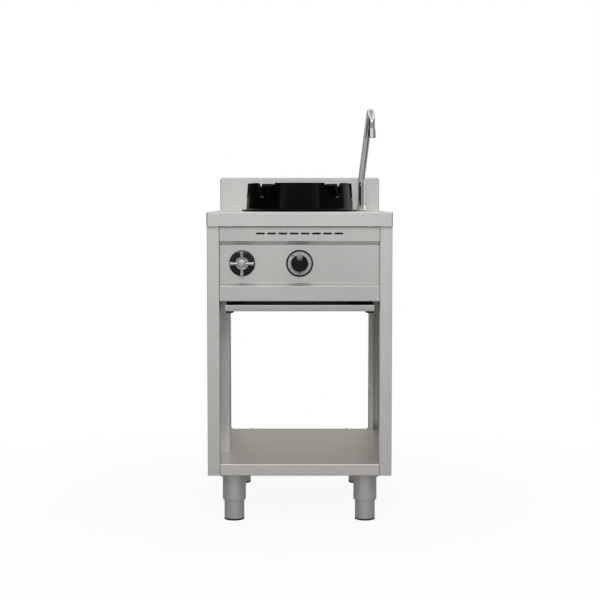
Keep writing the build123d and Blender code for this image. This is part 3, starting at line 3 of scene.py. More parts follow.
import bmesh
import bpy
from bpy.props import FloatProperty, FloatVectorProperty, IntProperty, PointerProperty
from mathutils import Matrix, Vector


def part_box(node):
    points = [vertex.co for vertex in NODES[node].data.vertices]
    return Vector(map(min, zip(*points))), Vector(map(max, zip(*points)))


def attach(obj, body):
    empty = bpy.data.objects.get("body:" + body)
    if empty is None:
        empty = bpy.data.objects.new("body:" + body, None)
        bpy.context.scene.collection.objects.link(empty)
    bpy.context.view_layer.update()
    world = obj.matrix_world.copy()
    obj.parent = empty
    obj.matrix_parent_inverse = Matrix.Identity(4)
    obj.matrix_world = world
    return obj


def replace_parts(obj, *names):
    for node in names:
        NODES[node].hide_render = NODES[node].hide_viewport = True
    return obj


bl_info = {
    "name": "Gas wok range",
    "version": (1, 0, 0),
    "blender": (4, 5, 0),
    "location": "View3D > Sidebar > Wok range",
    "description": "Finishes and fine details of a free-standing gas wok range, and its studio",
    "category": "Object",
}

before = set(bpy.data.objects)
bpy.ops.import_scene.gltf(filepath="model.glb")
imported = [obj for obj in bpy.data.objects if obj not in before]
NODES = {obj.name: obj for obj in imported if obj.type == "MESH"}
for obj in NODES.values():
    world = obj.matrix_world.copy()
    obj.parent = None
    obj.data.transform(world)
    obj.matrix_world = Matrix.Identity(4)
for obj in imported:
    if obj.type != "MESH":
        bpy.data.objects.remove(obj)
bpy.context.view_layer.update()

RIGHT = Vector((1.0, 0.0, 0.0))
BACK = Vector((0.0, 1.0, 0.0))
UP = Vector((0.0, 0.0, 1.0))
# Two directions across and one along, for a piece turned about Y or Z
AXES = {"Y": (RIGHT, -UP, BACK), "Z": (RIGHT, BACK, UP)}
NO_SHIFT = (0.0, 0.0, 0.0)
FULL_SIZE = (1.0, 1.0, 1.0)
WHITE = (1.0, 1.0, 1.0)
SHARP_ANGLE = radians(35)
WELD_DISTANCE = 1e-6
CLIP_END = 100.0
NUT_FACE_SHARE = 0.83
THREAD_ROWS_PER_TURN = 6


# Sizes and colours

def length(name, description, default):
    """A size in metres."""
    return FloatProperty(
        name=name, description=description, default=default, unit="LENGTH", precision=5
    )


def share(name, description, default):
    """A number from 0 to 1."""
    return FloatProperty(name=name, description=description, default=default, min=0.0, max=1.0)


def colour(name, description, default):
    """A linear colour."""
    return FloatVectorProperty(
        name=name,
        description=description,
        default=default,
        subtype="COLOR",
        size=3,
        min=0.0,
        max=1.0,
    )


def count(name, description, default):
    """A whole number."""
    return IntProperty(name=name, description=description, default=default, min=1)


def power(name, description, default):
    """A lamp's power in watts."""
    return FloatProperty(name=name, description=description, default=default, unit="POWER")


class SheetSettings(bpy.types.PropertyGroup):
    steel: colour("Steel", "Colour of the stainless sheet", (0.690, 0.683, 0.670))
    shelf_steel: colour("Shelf steel", "Colour of the shelf's sheet", (0.790, 0.765, 0.735))
    roughness: share("Roughness", "How satin the sheet is", 0.38)
    metallic: share("Metallic", "Share of clean metal in the satin surface", 0.78)
    grain_length: length("Grain length", "Length of the brushed scratches", 0.12)
    grain_width: length("Grain width", "Width of the brushed scratches", 0.0006)
    smudge: length("Smudge size", "Size of the faint wiping marks", 0.16)
    # Painted shade: the drip tray is painted near black behind its front lip, standing for the shade
    # inside it
    tray_lip: length("Tray lip", "Depth of the drip tray's clean front", 0.030)
    tray_shade: share("Tray shade", "How much darker the drip tray is under the burner", 0.95)


class EnamelSettings(bpy.types.PropertyGroup):
    black: colour("Black", "Colour of the crown's enamel", (0.0018, 0.0016, 0.0014))
    roughness: share("Roughness", "Gloss of the enamel", 0.05)
    ripple: length("Ripple", "Size of the enamel's orange peel", 0.004)


class ControlSettings(bpy.types.PropertyGroup):
    plastic: colour("Plastic", "Colour of the knob", (0.002, 0.002, 0.002))
    dial: colour("Dial", "Colour of the dial", (0.58, 0.585, 0.59))
    # Painted highlight: the pale colour on the grip's upper end stands for light from above, not for
    # rubbing
    grip_highlight: colour("Grip highlight", "Colour of the grip where fingers rub it", (0.24, 0.24, 0.235))
    bezel: colour("Bezel", "Colour of the ring round the dial", (0.004, 0.004, 0.004))
    plate: colour("Plate", "Colour of the water tap's plate", (0.010, 0.0095, 0.009))
    print_dark: colour("Dark marks", "Colour of the dial's dots and pointer", (0.008, 0.008, 0.008))
    print_grey: colour("Grey mark", "Colour of the dial's tick", (0.06, 0.06, 0.06))
    pale_mark_colour: colour("Pale marks", "Colour of the plate's arrows", (0.20, 0.20, 0.195))
    mark_height: length("Mark height", "How far the marks stand off", 0.00012)
    tick_width: length("Tick width", "Width of the dial's tick", 0.0016)
    tick_inner: length("Tick inner end", "Radius of the tick's inner end", 0.0255)
    tick_outer: length("Tick outer end", "Radius of the tick's outer end", 0.0305)
    dot_place: length("Dot place", "Radius at which the dots sit", 0.0277)
    dot_radius: length("Dot radius", "Radius of the larger dot", 0.0022)
    pointer_inner: length("Pointer base", "Radius of the low pointer's base", 0.0240)
    pointer_outer: length("Pointer tip", "Radius of the low pointer's tip", 0.0285)
    pointer_width: length("Pointer width", "Width of the low pointer's base", 0.0056)
    arrow_place: length("Arrow place", "Radius at which the plate's arrows sit", 0.0320)
    arrow_width: length("Arrow width", "Width of an arrow's line", 0.0010)
    plate_flat: length("Plate flat", "Radius at which the plate's bevel starts", 0.0280)
    plate_fall: share("Plate fall", "Slope of the plate's bevel", 0.314)


class MetalSettings(bpy.types.PropertyGroup):
    chrome: colour("Chrome", "Colour of the chrome plate", (0.78, 0.78, 0.785))
    brass: colour("Brass", "Colour of the brass", (0.60, 0.44, 0.21))
    copper: colour("Copper", "Colour of the copper tube", (0.70, 0.38, 0.25))
    zinc: colour("Zinc", "Colour of the zinc plate", (0.55, 0.56, 0.57))
    iron: colour("Iron", "Colour of the rough casting", (0.09, 0.085, 0.08))
    port_inner: length("Inner ports", "Radius of the burner's inner ring of ports", 0.042)
    port_outer: length("Outer ports", "Radius of the burner's outer ring of ports", 0.060)
    port_radius: length("Port radius", "Radius of a burner port", 0.0017)
    port_count: count("Ports", "Ports in each of the burner's two rings", 24)
    thread_depth: length("Thread depth", "Depth of the pipe threads", 0.00116)
    thread_pitch: length("Thread pitch", "Pitch of the pipe threads", 0.001814)
    screw_pitch: length("Screw pitch", "Pitch of the screws' threads", 0.0008)
    screw_socket: length("Screw socket", "Half width across the socket's corners", 0.0016)
    turned_sides: count("Turned sides", "Points round a turned piece", 48)


class StageSettings(bpy.types.PropertyGroup):
    distance: length("Distance", "Camera to the worktop's front edge", 3.716)
    height: length("Height", "Camera above the floor", 0.877)
    side_step: length("Side step", "Camera to the right of the middle", 0.001)
    pitch: FloatProperty(
        name="Pitch", description="Camera's tilt downwards", default=radians(4.04), subtype="ANGLE"
    )
    lens: FloatProperty(name="Lens", description="Focal length in millimetres", default=83.3)
    sky: share("Sky", "Brightness of the light from all round", 0.55)
    key_power: power("Key", "Power of the key light", 80.0)
    top_power: power("Top", "Power of the top light", 6.0)
    floor_size: length("Floor size", "Side of the floor", 60.0)
    floor_white: share("Floor white", "Share of plain white in the floor beside the unit", 0.92)
    floor_near: length("Floor near", "Distance at which the floor starts to turn white", 0.35)
    floor_far: length("Floor far", "Distance from which the floor is white", 1.5)
    card_side: colour("Side cards", "Colour of the cards at the sides", (0.22, 0.216, 0.21))
    card_high: colour("High card", "Colour of the card at the upper left", (0.035, 0.034, 0.033))
    card_low: colour("Low card", "Colour of the card round the feet", (0.15, 0.149, 0.147))
    card_front: colour("Front card", "Colour of the card on the floor in front", (0.33, 0.326, 0.319))
    card_ahead: colour("Card ahead", "Colour of the card behind the camera", (0.34, 0.336, 0.330))
    card_back: colour("Back card", "Colour of the card behind", (0.34, 0.32, 0.285))
    card_top: colour("Top card", "Colour of the card overhead", (0.46, 0.455, 0.445))
    card_slope: colour("Sloping card", "Colour of the card above the camera", (0.76, 0.755, 0.745))


# Shader expressions

class Socket:
    """An output socket that takes part in sums and products."""

    def __init__(self, shader, link):
        self.shader = shader
        self.link = link

    def __add__(self, other):
        return self.shader.maths("ADD", self, other)

    def __sub__(self, other):
        return self.shader.maths("SUBTRACT", self, other)

    def __rsub__(self, other):
        return self.shader.maths("SUBTRACT", other, self)

    def __mul__(self, other):
        return self.shader.maths("MULTIPLY", self, other)

    def __abs__(self):
        return self.shader.maths("ABSOLUTE", self)

    __radd__ = __add__
    __rmul__ = __mul__


class Shader:
    """The node tree of one material or of the world."""

    def __init__(self, owner):
        owner.use_nodes = True
        self.tree = owner.node_tree
        self.tree.nodes.clear()

    def node(self, kind, settings, sockets, output=0):
        """Adds a node: its settings first, then the values or links of its sockets."""
        made = self.tree.nodes.new(kind)
        for name, value in settings.items():
            setattr(made, name, value)
        for key, value in sockets.items():
            if isinstance(value, Socket):
                self.tree.links.new(value.link, made.inputs[key])
            elif made.inputs[key].type == "RGBA":
                made.inputs[key].default_value = (*value, 1.0)
            else:
                made.inputs[key].default_value = value
        return Socket(self, made.outputs[output]) if made.outputs else None

    def maths(self, operation, *values):
        """Math node on numbers or sockets."""
        return self.node("ShaderNodeMath", {"operation": operation}, dict(enumerate(values)))

    def place(self, scale=FULL_SIZE, shift=NO_SHIFT):
        """Place on the object in metres, shifted, then scaled along each axis."""
        where = self.node("ShaderNodeTexCoord", {}, {}, "Object")
        moved = self.node("ShaderNodeVectorMath", {"operation": "ADD"}, {0: where, 1: shift})
        return self.node("ShaderNodeVectorMath", {"operation": "MULTIPLY"}, {0: moved, 1: scale})

    def along(self, where, axis):
        """One coordinate of a place."""
        return self.node("ShaderNodeSeparateXYZ", {}, {"Vector": where}, axis)

    def distance(self, where):
        """Distance of a place from the origin."""
        return self.node("ShaderNodeVectorMath", {"operation": "LENGTH"}, {0: where}, "Value")

    def noise(self, where, detail=2.0):
        """Soft noise from 0 to 1."""
        sockets = {"Vector": where, "Scale": 1.0, "Detail": detail}
        return self.node("ShaderNodeTexNoise", {}, sockets, "Fac")

    def even_noise(self, per_metre, detail=2.0, shift=NO_SHIFT):
        """Soft noise that is alike along every axis, by its waves per metre."""
        return self.noise(self.place((per_metre,) * 3, shift), detail)

    def between(self, value, low, high, to_low=0.0, to_high=1.0):
        """Value mapped smoothly from one range to another."""
        sockets = {"Value": value, 1: low, 2: high, 3: to_low, 4: to_high}
        return self.node("ShaderNodeMapRange", {"interpolation_type": "SMOOTHSTEP"}, sockets)

    def mix(self, factor, first, second):
        """Colour between two colours."""
        return self.node("ShaderNodeMix", {"data_type": "RGBA"}, {0: factor, 6: first, 7: second}, 2)

    def bump(self, height, strength, distance):
        """Normal from a height."""
        sockets = {"Height": height, "Strength": strength, "Distance": distance}
        return self.node("ShaderNodeBump", {}, sockets, "Normal")

    def surface(self, **sockets):
        """Principled surface as the material's output; base_color feeds the socket Base Color."""
        named = {
            key.replace("_", " ").title().replace("Ior", "IOR"): value
            for key, value in sockets.items()
        }
        made = self.node("ShaderNodeBsdfPrincipled", {}, named)
        self.node("ShaderNodeOutputMaterial", {}, {"Surface": made})


def material(name):
    """A new material and its shader."""
    made = bpy.data.materials.new(name)
    return made, Shader(made)


def tinted(tint, factor):
    """A colour made lighter or darker."""
    return tuple(min(1.0, channel * factor) for channel in tint)


# Finishes

def brushed_sheet(name, tint, settings, along, tray_shade_span=None):
    """Satin stainless: fine scratches one way, faint wiping marks, a slightly uneven sheen.

    Where the last argument gives two places along Y, the sheet keeps its colour up to the first and,
    from the second, is painted near black with a cloudy edge: painted shade, standing for the shade
    inside the drip tray.
    """
    coarse_times, coarse_share, cloudy_share = 4, 0.4, 0.45
    made, shader = material(name)
    fine = [1.0 / settings.grain_width] * 3
    fine["XYZ".index(along)] = 1.0 / settings.grain_length
    scratches = shader.noise(shader.place(tuple(fine)), detail=3.0)
    wide = tuple(value / coarse_times for value in fine)
    coarse = shader.noise(shader.place(wide, shift=(0.31, 0.17, 0.23)))
    grain = scratches * (1.0 - coarse_share) + coarse * coarse_share
    cloud = shader.even_noise(1.0 / settings.smudge, detail=3.0, shift=(0.7, 0.2, 0.4))
    wipe = shader.between(cloud, 0.35, 0.7)
    scratched = shader.mix(grain, tinted(tint, 0.93), tinted(tint, 1.06))
    base = shader.mix(wipe, scratched, tint)
    # Painted shade: towards the back the sheet is darkened to near black, with a cloudy edge, standing
    # for shade
    if tray_shade_span:
        behind = shader.between(shader.along(shader.place(), "Y"), *tray_shade_span)
        tray_shade = behind * (1.0 - cloudy_share + cloud * cloudy_share) * settings.tray_shade
        base = shader.mix(tray_shade, base, (0.010, 0.009, 0.008))
    shader.surface(
        base_color=base,
        metallic=settings.metallic,
        roughness=settings.roughness - 0.05 + grain * 0.06 + wipe * 0.04,
        normal=shader.bump(grain, strength=0.80, distance=0.0001),
    )
    return made


def enamel(settings):
    """Gloss black enamel with a soft orange peel and a few pin specks."""
    made, shader = material("black_enamel")
    peel = shader.even_noise(1.0 / settings.ripple)
    wear = shader.between(shader.even_noise(38.0, detail=4.0, shift=(0.2, 0.9, 0.1)), 0.4, 0.8)
    specks = shader.between(shader.even_noise(900.0, detail=1.0), 0.70, 0.78)
    shader.surface(
        base_color=shader.mix(specks * 0.5, settings.black, (0.05, 0.048, 0.045)),
        roughness=settings.roughness + wear * 0.10,
        specular_ior_level=0.10,
        normal=shader.bump(peel, strength=0.25, distance=0.0004),
    )
    return made


def rough_casting(name, tint):
    """Sand-cast iron: grainy, with dull and shiny spots."""
    made, shader = material(name)
    sand = shader.even_noise(700.0, detail=5.0)
    patches = shader.even_noise(40.0, detail=3.0)
    shader.surface(
        base_color=shader.mix(patches, tinted(tint, 0.7), tinted(tint, 1.3)),
        metallic=0.6,
        roughness=0.50 + sand * 0.25,
        normal=shader.bump(sand, strength=0.5, distance=0.0006),
    )
    return made


def turned_metal(name, tint, roughness, tarnish):
    """Machined or drawn metal with faint tool marks; tarnish, from 0 to 1, stains it."""
    made, shader = material(name)
    marks = shader.even_noise(1500.0)
    cloud = shader.even_noise(60.0, detail=4.0, shift=(0.4, 0.1, 0.6))
    stains = shader.between(cloud, 0.45, 0.8) * tarnish
    shader.surface(
        base_color=shader.mix(stains, tint, tinted(tint, 0.55)),
        metallic=1.0,
        roughness=roughness + marks * 0.05 + stains * 0.15,
        normal=shader.bump(marks, strength=0.05, distance=0.0001),
    )
    return made


def chrome_plate(name, tint, roughness):
    """Chrome, polished or satin, with faint wiping marks."""
    made, shader = material(name)
    wipe = shader.even_noise(30.0)
    shader.surface(
        base_color=shader.mix(wipe, tint, tinted(tint, 0.95)),
        metallic=1.0,
        roughness=roughness + shader.between(wipe, 0.4, 0.8) * 0.03,
    )
    return made


def moulded_plastic(name, tint, roughness, grain):
    """Moulded plastic with a fine texture; grain is how strongly it stands out."""
    made, shader = material(name)
    texture = shader.even_noise(1400.0)
    sheen = shader.even_noise(70.0)
    shader.surface(
        base_color=shader.mix(texture, tinted(tint, 0.8), tinted(tint, 1.25)),
        roughness=roughness + sheen * 0.08,
        specular_ior_level=0.25,
        normal=shader.bump(texture, strength=grain, distance=0.0002),
    )
    return made


def spun_dial(tint, node):
    """Satin aluminium spun about the dial's middle, so its scratches are rings."""
    low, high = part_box(node)
    middle = (low + high) / 2
    made, shader = material("spun_aluminium")
    radius = shader.distance(shader.place((1.0, 0.0, 1.0), (-middle.x, 0.0, -middle.z)))
    sockets = {"W": radius, "Scale": 2600.0, "Detail": 2.0}
    rings = shader.node("ShaderNodeTexNoise", {"noise_dimensions": "1D"}, sockets, "Fac")
    shader.surface(
        base_color=shader.mix(rings, tinted(tint, 0.93), tinted(tint, 1.05)),
        metallic=1.0,
        roughness=0.34 + rings * 0.10,
        normal=shader.bump(rings, strength=0.15, distance=0.0001),
    )
    return made


def rubber(name, tint):
    """Black rubber, dusty just above the floor."""
    dust_height = 0.003
    made, shader = material(name)
    texture = shader.even_noise(900.0, detail=3.0)
    dust = 1.0 - shader.between(shader.along(shader.place(), "Z"), 0.0, dust_height)
    shader.surface(
        base_color=shader.mix(dust * texture, tint, (0.10, 0.098, 0.09)),
        roughness=0.62 + texture * 0.15,
        normal=shader.bump(texture, strength=0.3, distance=0.0002),
    )
    return made


def semi_gloss(name, tint):
    """Semi-gloss finish with a fine ripple and worn spots."""
    made, shader = material(name)
    ripple = shader.even_noise(500.0)
    worn = shader.between(shader.even_noise(160.0, detail=4.0), 0.66, 0.74)
    shader.surface(
        base_color=shader.mix(worn * 0.4, tint, (0.12, 0.12, 0.12)),
        roughness=0.36 + ripple * 0.12,
        normal=shader.bump(ripple, strength=0.2, distance=0.0002),
    )
    return made


def printed_ink(name, tint):
    """Matt screen-printed ink, slightly uneven."""
    made, shader = material(name)
    ink = shader.even_noise(2500.0)
    shader.surface(
        base_color=shader.mix(ink, tinted(tint, 0.9), tinted(tint, 1.1)),
        roughness=0.5,
    )
    return made


def cover(finish, *names):
    """Gives CAD nodes a finish."""
    for name in names:
        slots = NODES[name].data.materials
        slots.clear()
        slots.append(finish)


# Meshes

def placed(name, data):
    """An object in the scene from a mesh, a lamp or a camera."""
    made = bpy.data.objects.new(name, data)
    bpy.context.scene.collection.objects.link(made)
    return made


def mesh_object(name, points, faces):
    """A plain mesh in the scene."""
    mesh = bpy.data.meshes.new(name)
    mesh.from_pydata(points, [], faces)
    mesh.validate()
    return placed(name, mesh)


def finished(made, finish, body):
    """Makes a mesh smooth between sharp edges, gives it its finish and lets it ride on a body."""
    made.data.materials.clear()
    made.data.materials.append(finish)
    made.data.shade_smooth()
    made.data.set_sharp_from_angle(angle=SHARP_ANGLE)
    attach(made, body)
    return made


def piece(name, points, faces, finish, body):
    """A new smooth mesh that rides on a body."""
    return finished(mesh_object(name, points, faces), finish, body)


def drilled(name, node, points, faces):
    """A copy of a CAD node with the given solids cut out of it."""
    work = bmesh.new()
    work.from_mesh(NODES[node].data)
    bmesh.ops.remove_doubles(work, verts=work.verts, dist=WELD_DISTANCE)
    mesh = bpy.data.meshes.new(name)
    work.to_mesh(mesh)
    work.free()
    made = placed(name, mesh)
    drill = mesh_object(name + "_drill", points, faces)
    cut = made.modifiers.new("drill", "BOOLEAN")
    cut.object = drill
    cut.solver = "EXACT"
    graph = bpy.context.evaluated_depsgraph_get()
    result = bpy.data.meshes.new_from_object(made.evaluated_get(graph))
    made.modifiers.clear()
    made.data = result
    bpy.data.objects.remove(drill)
    return made


def flat_card(name, middle, across, along):
    """A flat card from its middle and two half sides."""
    middle, across, along = Vector(middle), Vector(across), Vector(along)
    near, far = middle - along, middle + along
    corners = [near - across, near + across, far + across, far - across]
    return mesh_object(name, corners, [(0, 1, 2, 3)])


def rings_to_mesh(rings, looped=False):
    """Points and faces of a skin over rings of equal count, closed by end faces or into a loop."""
    sides = len(rings[0])
    points = [point for ring in rings for point in ring]
    faces = []
    for row in range(len(rings) if looped else len(rings) - 1):
        low = row * sides
        high = (row + 1) % len(rings) * sides
        for step in range(sides):
            after = (step + 1) % sides
            faces.append((low + step, low + after, high + after, high + step))
    if not looped:
        faces.append(tuple(reversed(range(sides))))
        faces.append(tuple(range(len(points) - sides, len(points))))
    return points, faces


def turned(middle, axis, sides, rows, looped=False):
    """Skin over rings about an axis; a row's height and radius are numbers or follow the angle."""
    across, aside, along = AXES[axis]
    rings = []
    for row in rows:
        ring = []
        for step in range(sides):
            angle = tau * step / sides
            height, radius = (value(angle) if callable(value) else value for value in row)
            spoke = across * cos(angle) + aside * sin(angle)
            ring.append(middle + spoke * radius + along * height)
        rings.append(ring)
    return rings_to_mesh(rings, looped)


def hexagon(corner):
    """Reach of a hexagon by angle, from its corner radius."""
    return lambda angle: corner * cos(pi / 6) / cos(angle % (pi / 3) - pi / 6)


def nut_rows(low, high, corner):
    """Rows of a hexagon whose ends are chamfered to a circle at 30 degrees."""
    reach = hexagon(corner)
    face = corner * NUT_FACE_SHARE

    def chamfer(angle):
        return (reach(angle) - face) * tan(radians(30))

    return [
        (low, face),
        (lambda angle: low + chamfer(angle), reach),
        (lambda angle: high - chamfer(angle), reach),
        (high, face),
    ]


def thread_rows(low, high, radius, pitch, depth):
    """Rows of a cut thread, chamfered at both ends."""
    steps = round((high - low) / pitch * THREAD_ROWS_PER_TURN)

    def cut(height):
        def reach(angle):
            phase = (height / pitch - angle / tau) % 1.0
            groove = depth * (1.0 - abs(2.0 * phase - 1.0))
            return radius - max(groove, depth - (height - low), depth - (high - height))

        return reach

    heights = [low + (high - low) * row / steps for row in range(steps + 1)]
    return [(height, cut(height)) for height in heights]


def bar(low, high):
    """A box between two corners."""
    corners = [(low.x, low.y), (high.x, low.y), (high.x, high.y), (low.x, high.y)]
    return rings_to_mesh([[(x, y, z) for x, y in corners] for z in (low.z, high.z)])


def clusters(node, reach):
    """Lowest and highest corners of a node's separate pieces, each smaller than the reach."""
    found = []
    for vertex in NODES[node].data.vertices:
        point = vertex.co
        for seed, low, high in found:
            if (point - seed).length < reach:
                low[:] = map(min, low, point)
                high[:] = map(max, high, point)
                break
        else:
            found.append((point.copy(), point.copy(), point.copy()))
    return [(low, high) for seed, low, high in found]


def joined(parts):
    """Several point and face lists as one."""
    points = []
    faces = []
    for more_points, more_faces in parts:
        start = len(points)
        points += more_points
        faces += [tuple(start + index for index in face) for face in more_faces]
    return points, faces


def raised(outline, origin, height, fall=lambda radius: 0.0):
    """An outline of X and Z offsets as a thin solid, raised towards -Y from a front face.

    The fall says how far that face lies back at a distance from the origin.
    """
    rings = []
    for stand in (0.0, height):
        rings.append([
            (origin.x + x, origin.y - stand + fall(Vector((x, z)).length), origin.z + z)
            for x, z in outline
        ])
    return rings_to_mesh(rings)


def polar(radius, angle):
    """X and Z offsets at an angle from straight up, turned to the left."""
    return (-radius * sin(angle), radius * cos(angle))


def band(inner, outer, start, end, steps=10):
    """Outline of part of a ring, between two angles."""
    sweep = [start + (end - start) * step / steps for step in range(steps + 1)]
    outside = [polar(outer, angle) for angle in sweep]
    inside = [polar(inner, angle) for angle in reversed(sweep)]
    return outside + inside


def round_mark(centre, radius, steps=20):
    """Outline of a dot."""
    x, z = centre
    turns = [tau * step / steps for step in range(steps)]
    return [(x + radius * cos(angle), z + radius * sin(angle)) for angle in turns]


def front_centre(node):
    """Middle of a node's front."""
    low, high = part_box(node)
    return Vector(((low.x + high.x) / 2, low.y, (low.z + high.z) / 2))


def on_middle_line(low, high, height):
    """Point on a box's upright middle line."""
    return Vector(((low.x + high.x) / 2, (low.y + high.y) / 2, height))


# Operators

class WOK_OT_sheet_body(bpy.types.Operator):
    """Satin stainless on the folded sheet body"""

    bl_idname = "wok_range.sheet_body"
    bl_label = "Sheet body"

    def execute(self, context):
        settings = context.scene.wok_sheet
        lengthways = ("casing_floor", "left_base_channel", "right_base_channel")
        # Finish, its lightness against the one stainless sheet (painted light and shade: darker under
        # the worktop's lip, lighter inside the shaded bay), the axis of its grain, and the nodes it
        # covers
        rows = (
            ("panel_stainless", 0.97, "X", ("front_panel", "rear_panel")),
            ("top_stainless", 1.06, "X", ("worktop",)),
            ("back_stainless", 0.98, "X", ("splashback",)),
            ("side_stainless", 1.07, "Z", ("left_side_panel", "right_side_panel")),
            ("duct_stainless", 1.3, "Z", ("service_duct",)),
            ("stainless_lengthways", 1.0, "Y", lengthways),
        )
        for name, light_and_shade, along, nodes in rows:
            tint = tinted(settings.steel, light_and_shade)
            cover(brushed_sheet(name, tint, settings, along), *nodes)
        shelf = brushed_sheet("shelf_stainless", settings.shelf_steel, settings, "X")
        cover(shelf, "lower_shelf")
        return {"FINISHED"}


class WOK_OT_feet(bpy.types.Operator):
    """Satin tube and black pads on the adjustable feet"""

    bl_idname = "wok_range.feet"
    bl_label = "Feet"

    def execute(self, context):
        settings = context.scene.wok_sheet
        zinc = context.scene.wok_metal.zinc
        # Painted light: the feet's tube is a lighter copy of the stainless sheet, for their shaded
        # middles
        tube = brushed_sheet("foot_tube", tinted(settings.steel, 1.06), settings, "Z")
        pad = rubber("pad_rubber", tint=(0.006, 0.006, 0.006))
        nut = turned_metal("foot_nut_zinc", zinc, roughness=0.3, tarnish=0.3)
        for name in NODES:
            if name.endswith(("_foot_sleeve", "_foot_leg")):
                cover(tube, name)
            elif name.endswith("_foot_pad"):
                cover(pad, name)
        cover(nut, "foot_nuts")
        return {"FINISHED"}


class WOK_OT_drip_tray(bpy.types.Operator):
    """Stainless tray on black rails"""

    bl_idname = "wok_range.drip_tray"
    bl_label = "Drip tray"

    def execute(self, context):
        settings = context.scene.wok_sheet
        # Painted shade inside the tray starts behind its front lip and is full half a lip further back
        lips_to_full_shade = 1.5
        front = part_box("drip_tray")[0].y
        tray_shade_span = (front + settings.tray_lip, front + settings.tray_lip * lips_to_full_shade)
        tint = tinted(settings.steel, 0.85)
        cover(brushed_sheet("tray_stainless", tint, settings, "X", tray_shade_span), "drip_tray")
        # The rails are given a near-black colour
        rail_finish = semi_gloss("rail_near_black", tint=(0.012, 0.012, 0.012))
        cover(rail_finish, "left_tray_rail", "right_tray_rail")
        return {"FINISHED"}


class WOK_OT_crown(bpy.types.Operator):
    """Gloss black enamel on the cast crown"""

    bl_idname = "wok_range.crown"
    bl_label = "Wok crown"

    def execute(self, context):
        cover(enamel(context.scene.wok_enamel), "wok_crown")
        return {"FINISHED"}


class WOK_OT_burner(bpy.types.Operator):
    """Cast iron, brass and steel on the burner"""

    bl_idname = "wok_range.burner"
    bl_label = "Burner"

    def execute(self, context):
        metal = context.scene.wok_metal
        sheet = context.scene.wok_sheet
        brass = turned_metal("burner_brass", metal.brass, roughness=0.28, tarnish=0.7)
        zinc = turned_metal("burner_zinc", metal.zinc, roughness=0.35, tarnish=0.4)
        cover(rough_casting("burner_iron", metal.iron), "burner_body")
        cover(brushed_sheet("well_stainless", tinted(sheet.steel, 0.9), sheet, "X"), "burner_well")
        cover(brass, "injector", "pilot_burner")
        cover(zinc, "burner_crossbar", "air_shutter")
        self.ported_head(metal, brass)
        return {"FINISHED"}

    def ported_head(self, metal, brass):
        """The burner's cap with two staggered rings of small ports drilled in its top."""
        low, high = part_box("burner_head")
        middle = on_middle_line(low, high, high.z)
        below, above, sides = 0.010, 0.002, 16
        rows = [(-below, metal.port_radius), (above, metal.port_radius)]
        parts = []
        for radius, stagger in ((metal.port_inner, 0.0), (metal.port_outer, 0.5)):
            for index in range(metal.port_count):
                x, y = polar(radius, tau * (index + stagger) / metal.port_count)
                parts.append(turned(middle + Vector((x, y, 0.0)), "Z", sides, rows))
        made = drilled("ported_head", "burner_head", *joined(parts))
        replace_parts(finished(made, brass, "head"), "burner_head")


class WOK_OT_gas_controls(bpy.types.Operator):
    """Black knob, ringed dial and its marks"""

    bl_idname = "wok_range.gas_controls"
    bl_label = "Gas controls"

    def execute(self, context):
        settings = context.scene.wok_controls
        metal = context.scene.wok_metal
        cover(self.knob_finish(settings), "burner_knob")
        bezel = moulded_plastic("bezel_plastic", settings.bezel, roughness=0.3, grain=0.10)
        cover(bezel, "knob_bezel")
        cover(spun_dial(settings.dial, "knob_dial"), "knob_dial")
        brass = turned_metal("valve_brass", metal.brass, roughness=0.3, tarnish=0.5)
        cover(brass, "gas_valve", "gas_spindle")
        steel = turned_metal("rod_steel", metal.zinc, roughness=0.25, tarnish=0.1)
        cover(steel, "gas_push_rod")
        self.marks(settings)
        return {"FINISHED"}

    def knob_finish(self, settings):
        """Gloss plastic with a painted highlight: paler towards the upper end of the grip, where light
        from above falls.
        """
        highlight_start, highlight_full = 0.008, 0.019
        grip_flat, grip_edge = 0.0066, 0.0078
        low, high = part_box("burner_knob")
        middle = (low + high) / 2
        made, shader = material("knob_plastic")
        texture = shader.even_noise(1400.0)
        where = shader.place((1.0, 0.0, 1.0), (-middle.x, 0.0, -middle.z))
        # Painted highlight mask: pale from part way up the grip to its top, and not on the grip's
        # sides
        above = shader.between(shader.along(where, "Z"), highlight_start, highlight_full)
        aside = shader.between(abs(shader.along(where, "X")), grip_flat, grip_edge)
        shader.surface(
            base_color=shader.mix(above * (1.0 - aside), settings.plastic, settings.grip_highlight),
            roughness=0.08 + texture * 0.05,
            specular_ior_level=0.30,
            normal=shader.bump(texture, strength=0.06, distance=0.0002),
        )
        return made

    def marks(self, settings):
        """Grey tick at the top of the dial, and two dark dots and a low pointer."""
        large_dot, small_dot, small_share = radians(41.7), radians(118), 0.67
        origin = front_centre("knob_dial")
        half = settings.tick_width / 2
        inner, outer = settings.tick_inner, settings.tick_outer
        tick = [(-half, inner), (half, inner), (half, outer), (-half, outer)]
        wing = settings.pointer_width / 2
        foot, tip = -settings.pointer_inner, -settings.pointer_outer
        pointer = [(wing, foot), (-wing, foot), (0.0, tip)]
        dark = [
            round_mark(polar(settings.dot_place, large_dot), settings.dot_radius),
            round_mark(polar(settings.dot_place, small_dot), settings.dot_radius * small_share),
            pointer,
        ]
        for name, shapes, tint in (
            ("dial_marks", dark, settings.print_dark),
            ("dial_tick", [tick], settings.print_grey),
        ):
            points, faces = joined(raised(shape, origin, settings.mark_height) for shape in shapes)
            ink = printed_ink(name + "_ink", tint)
            piece(name, points, faces, ink, "frame")


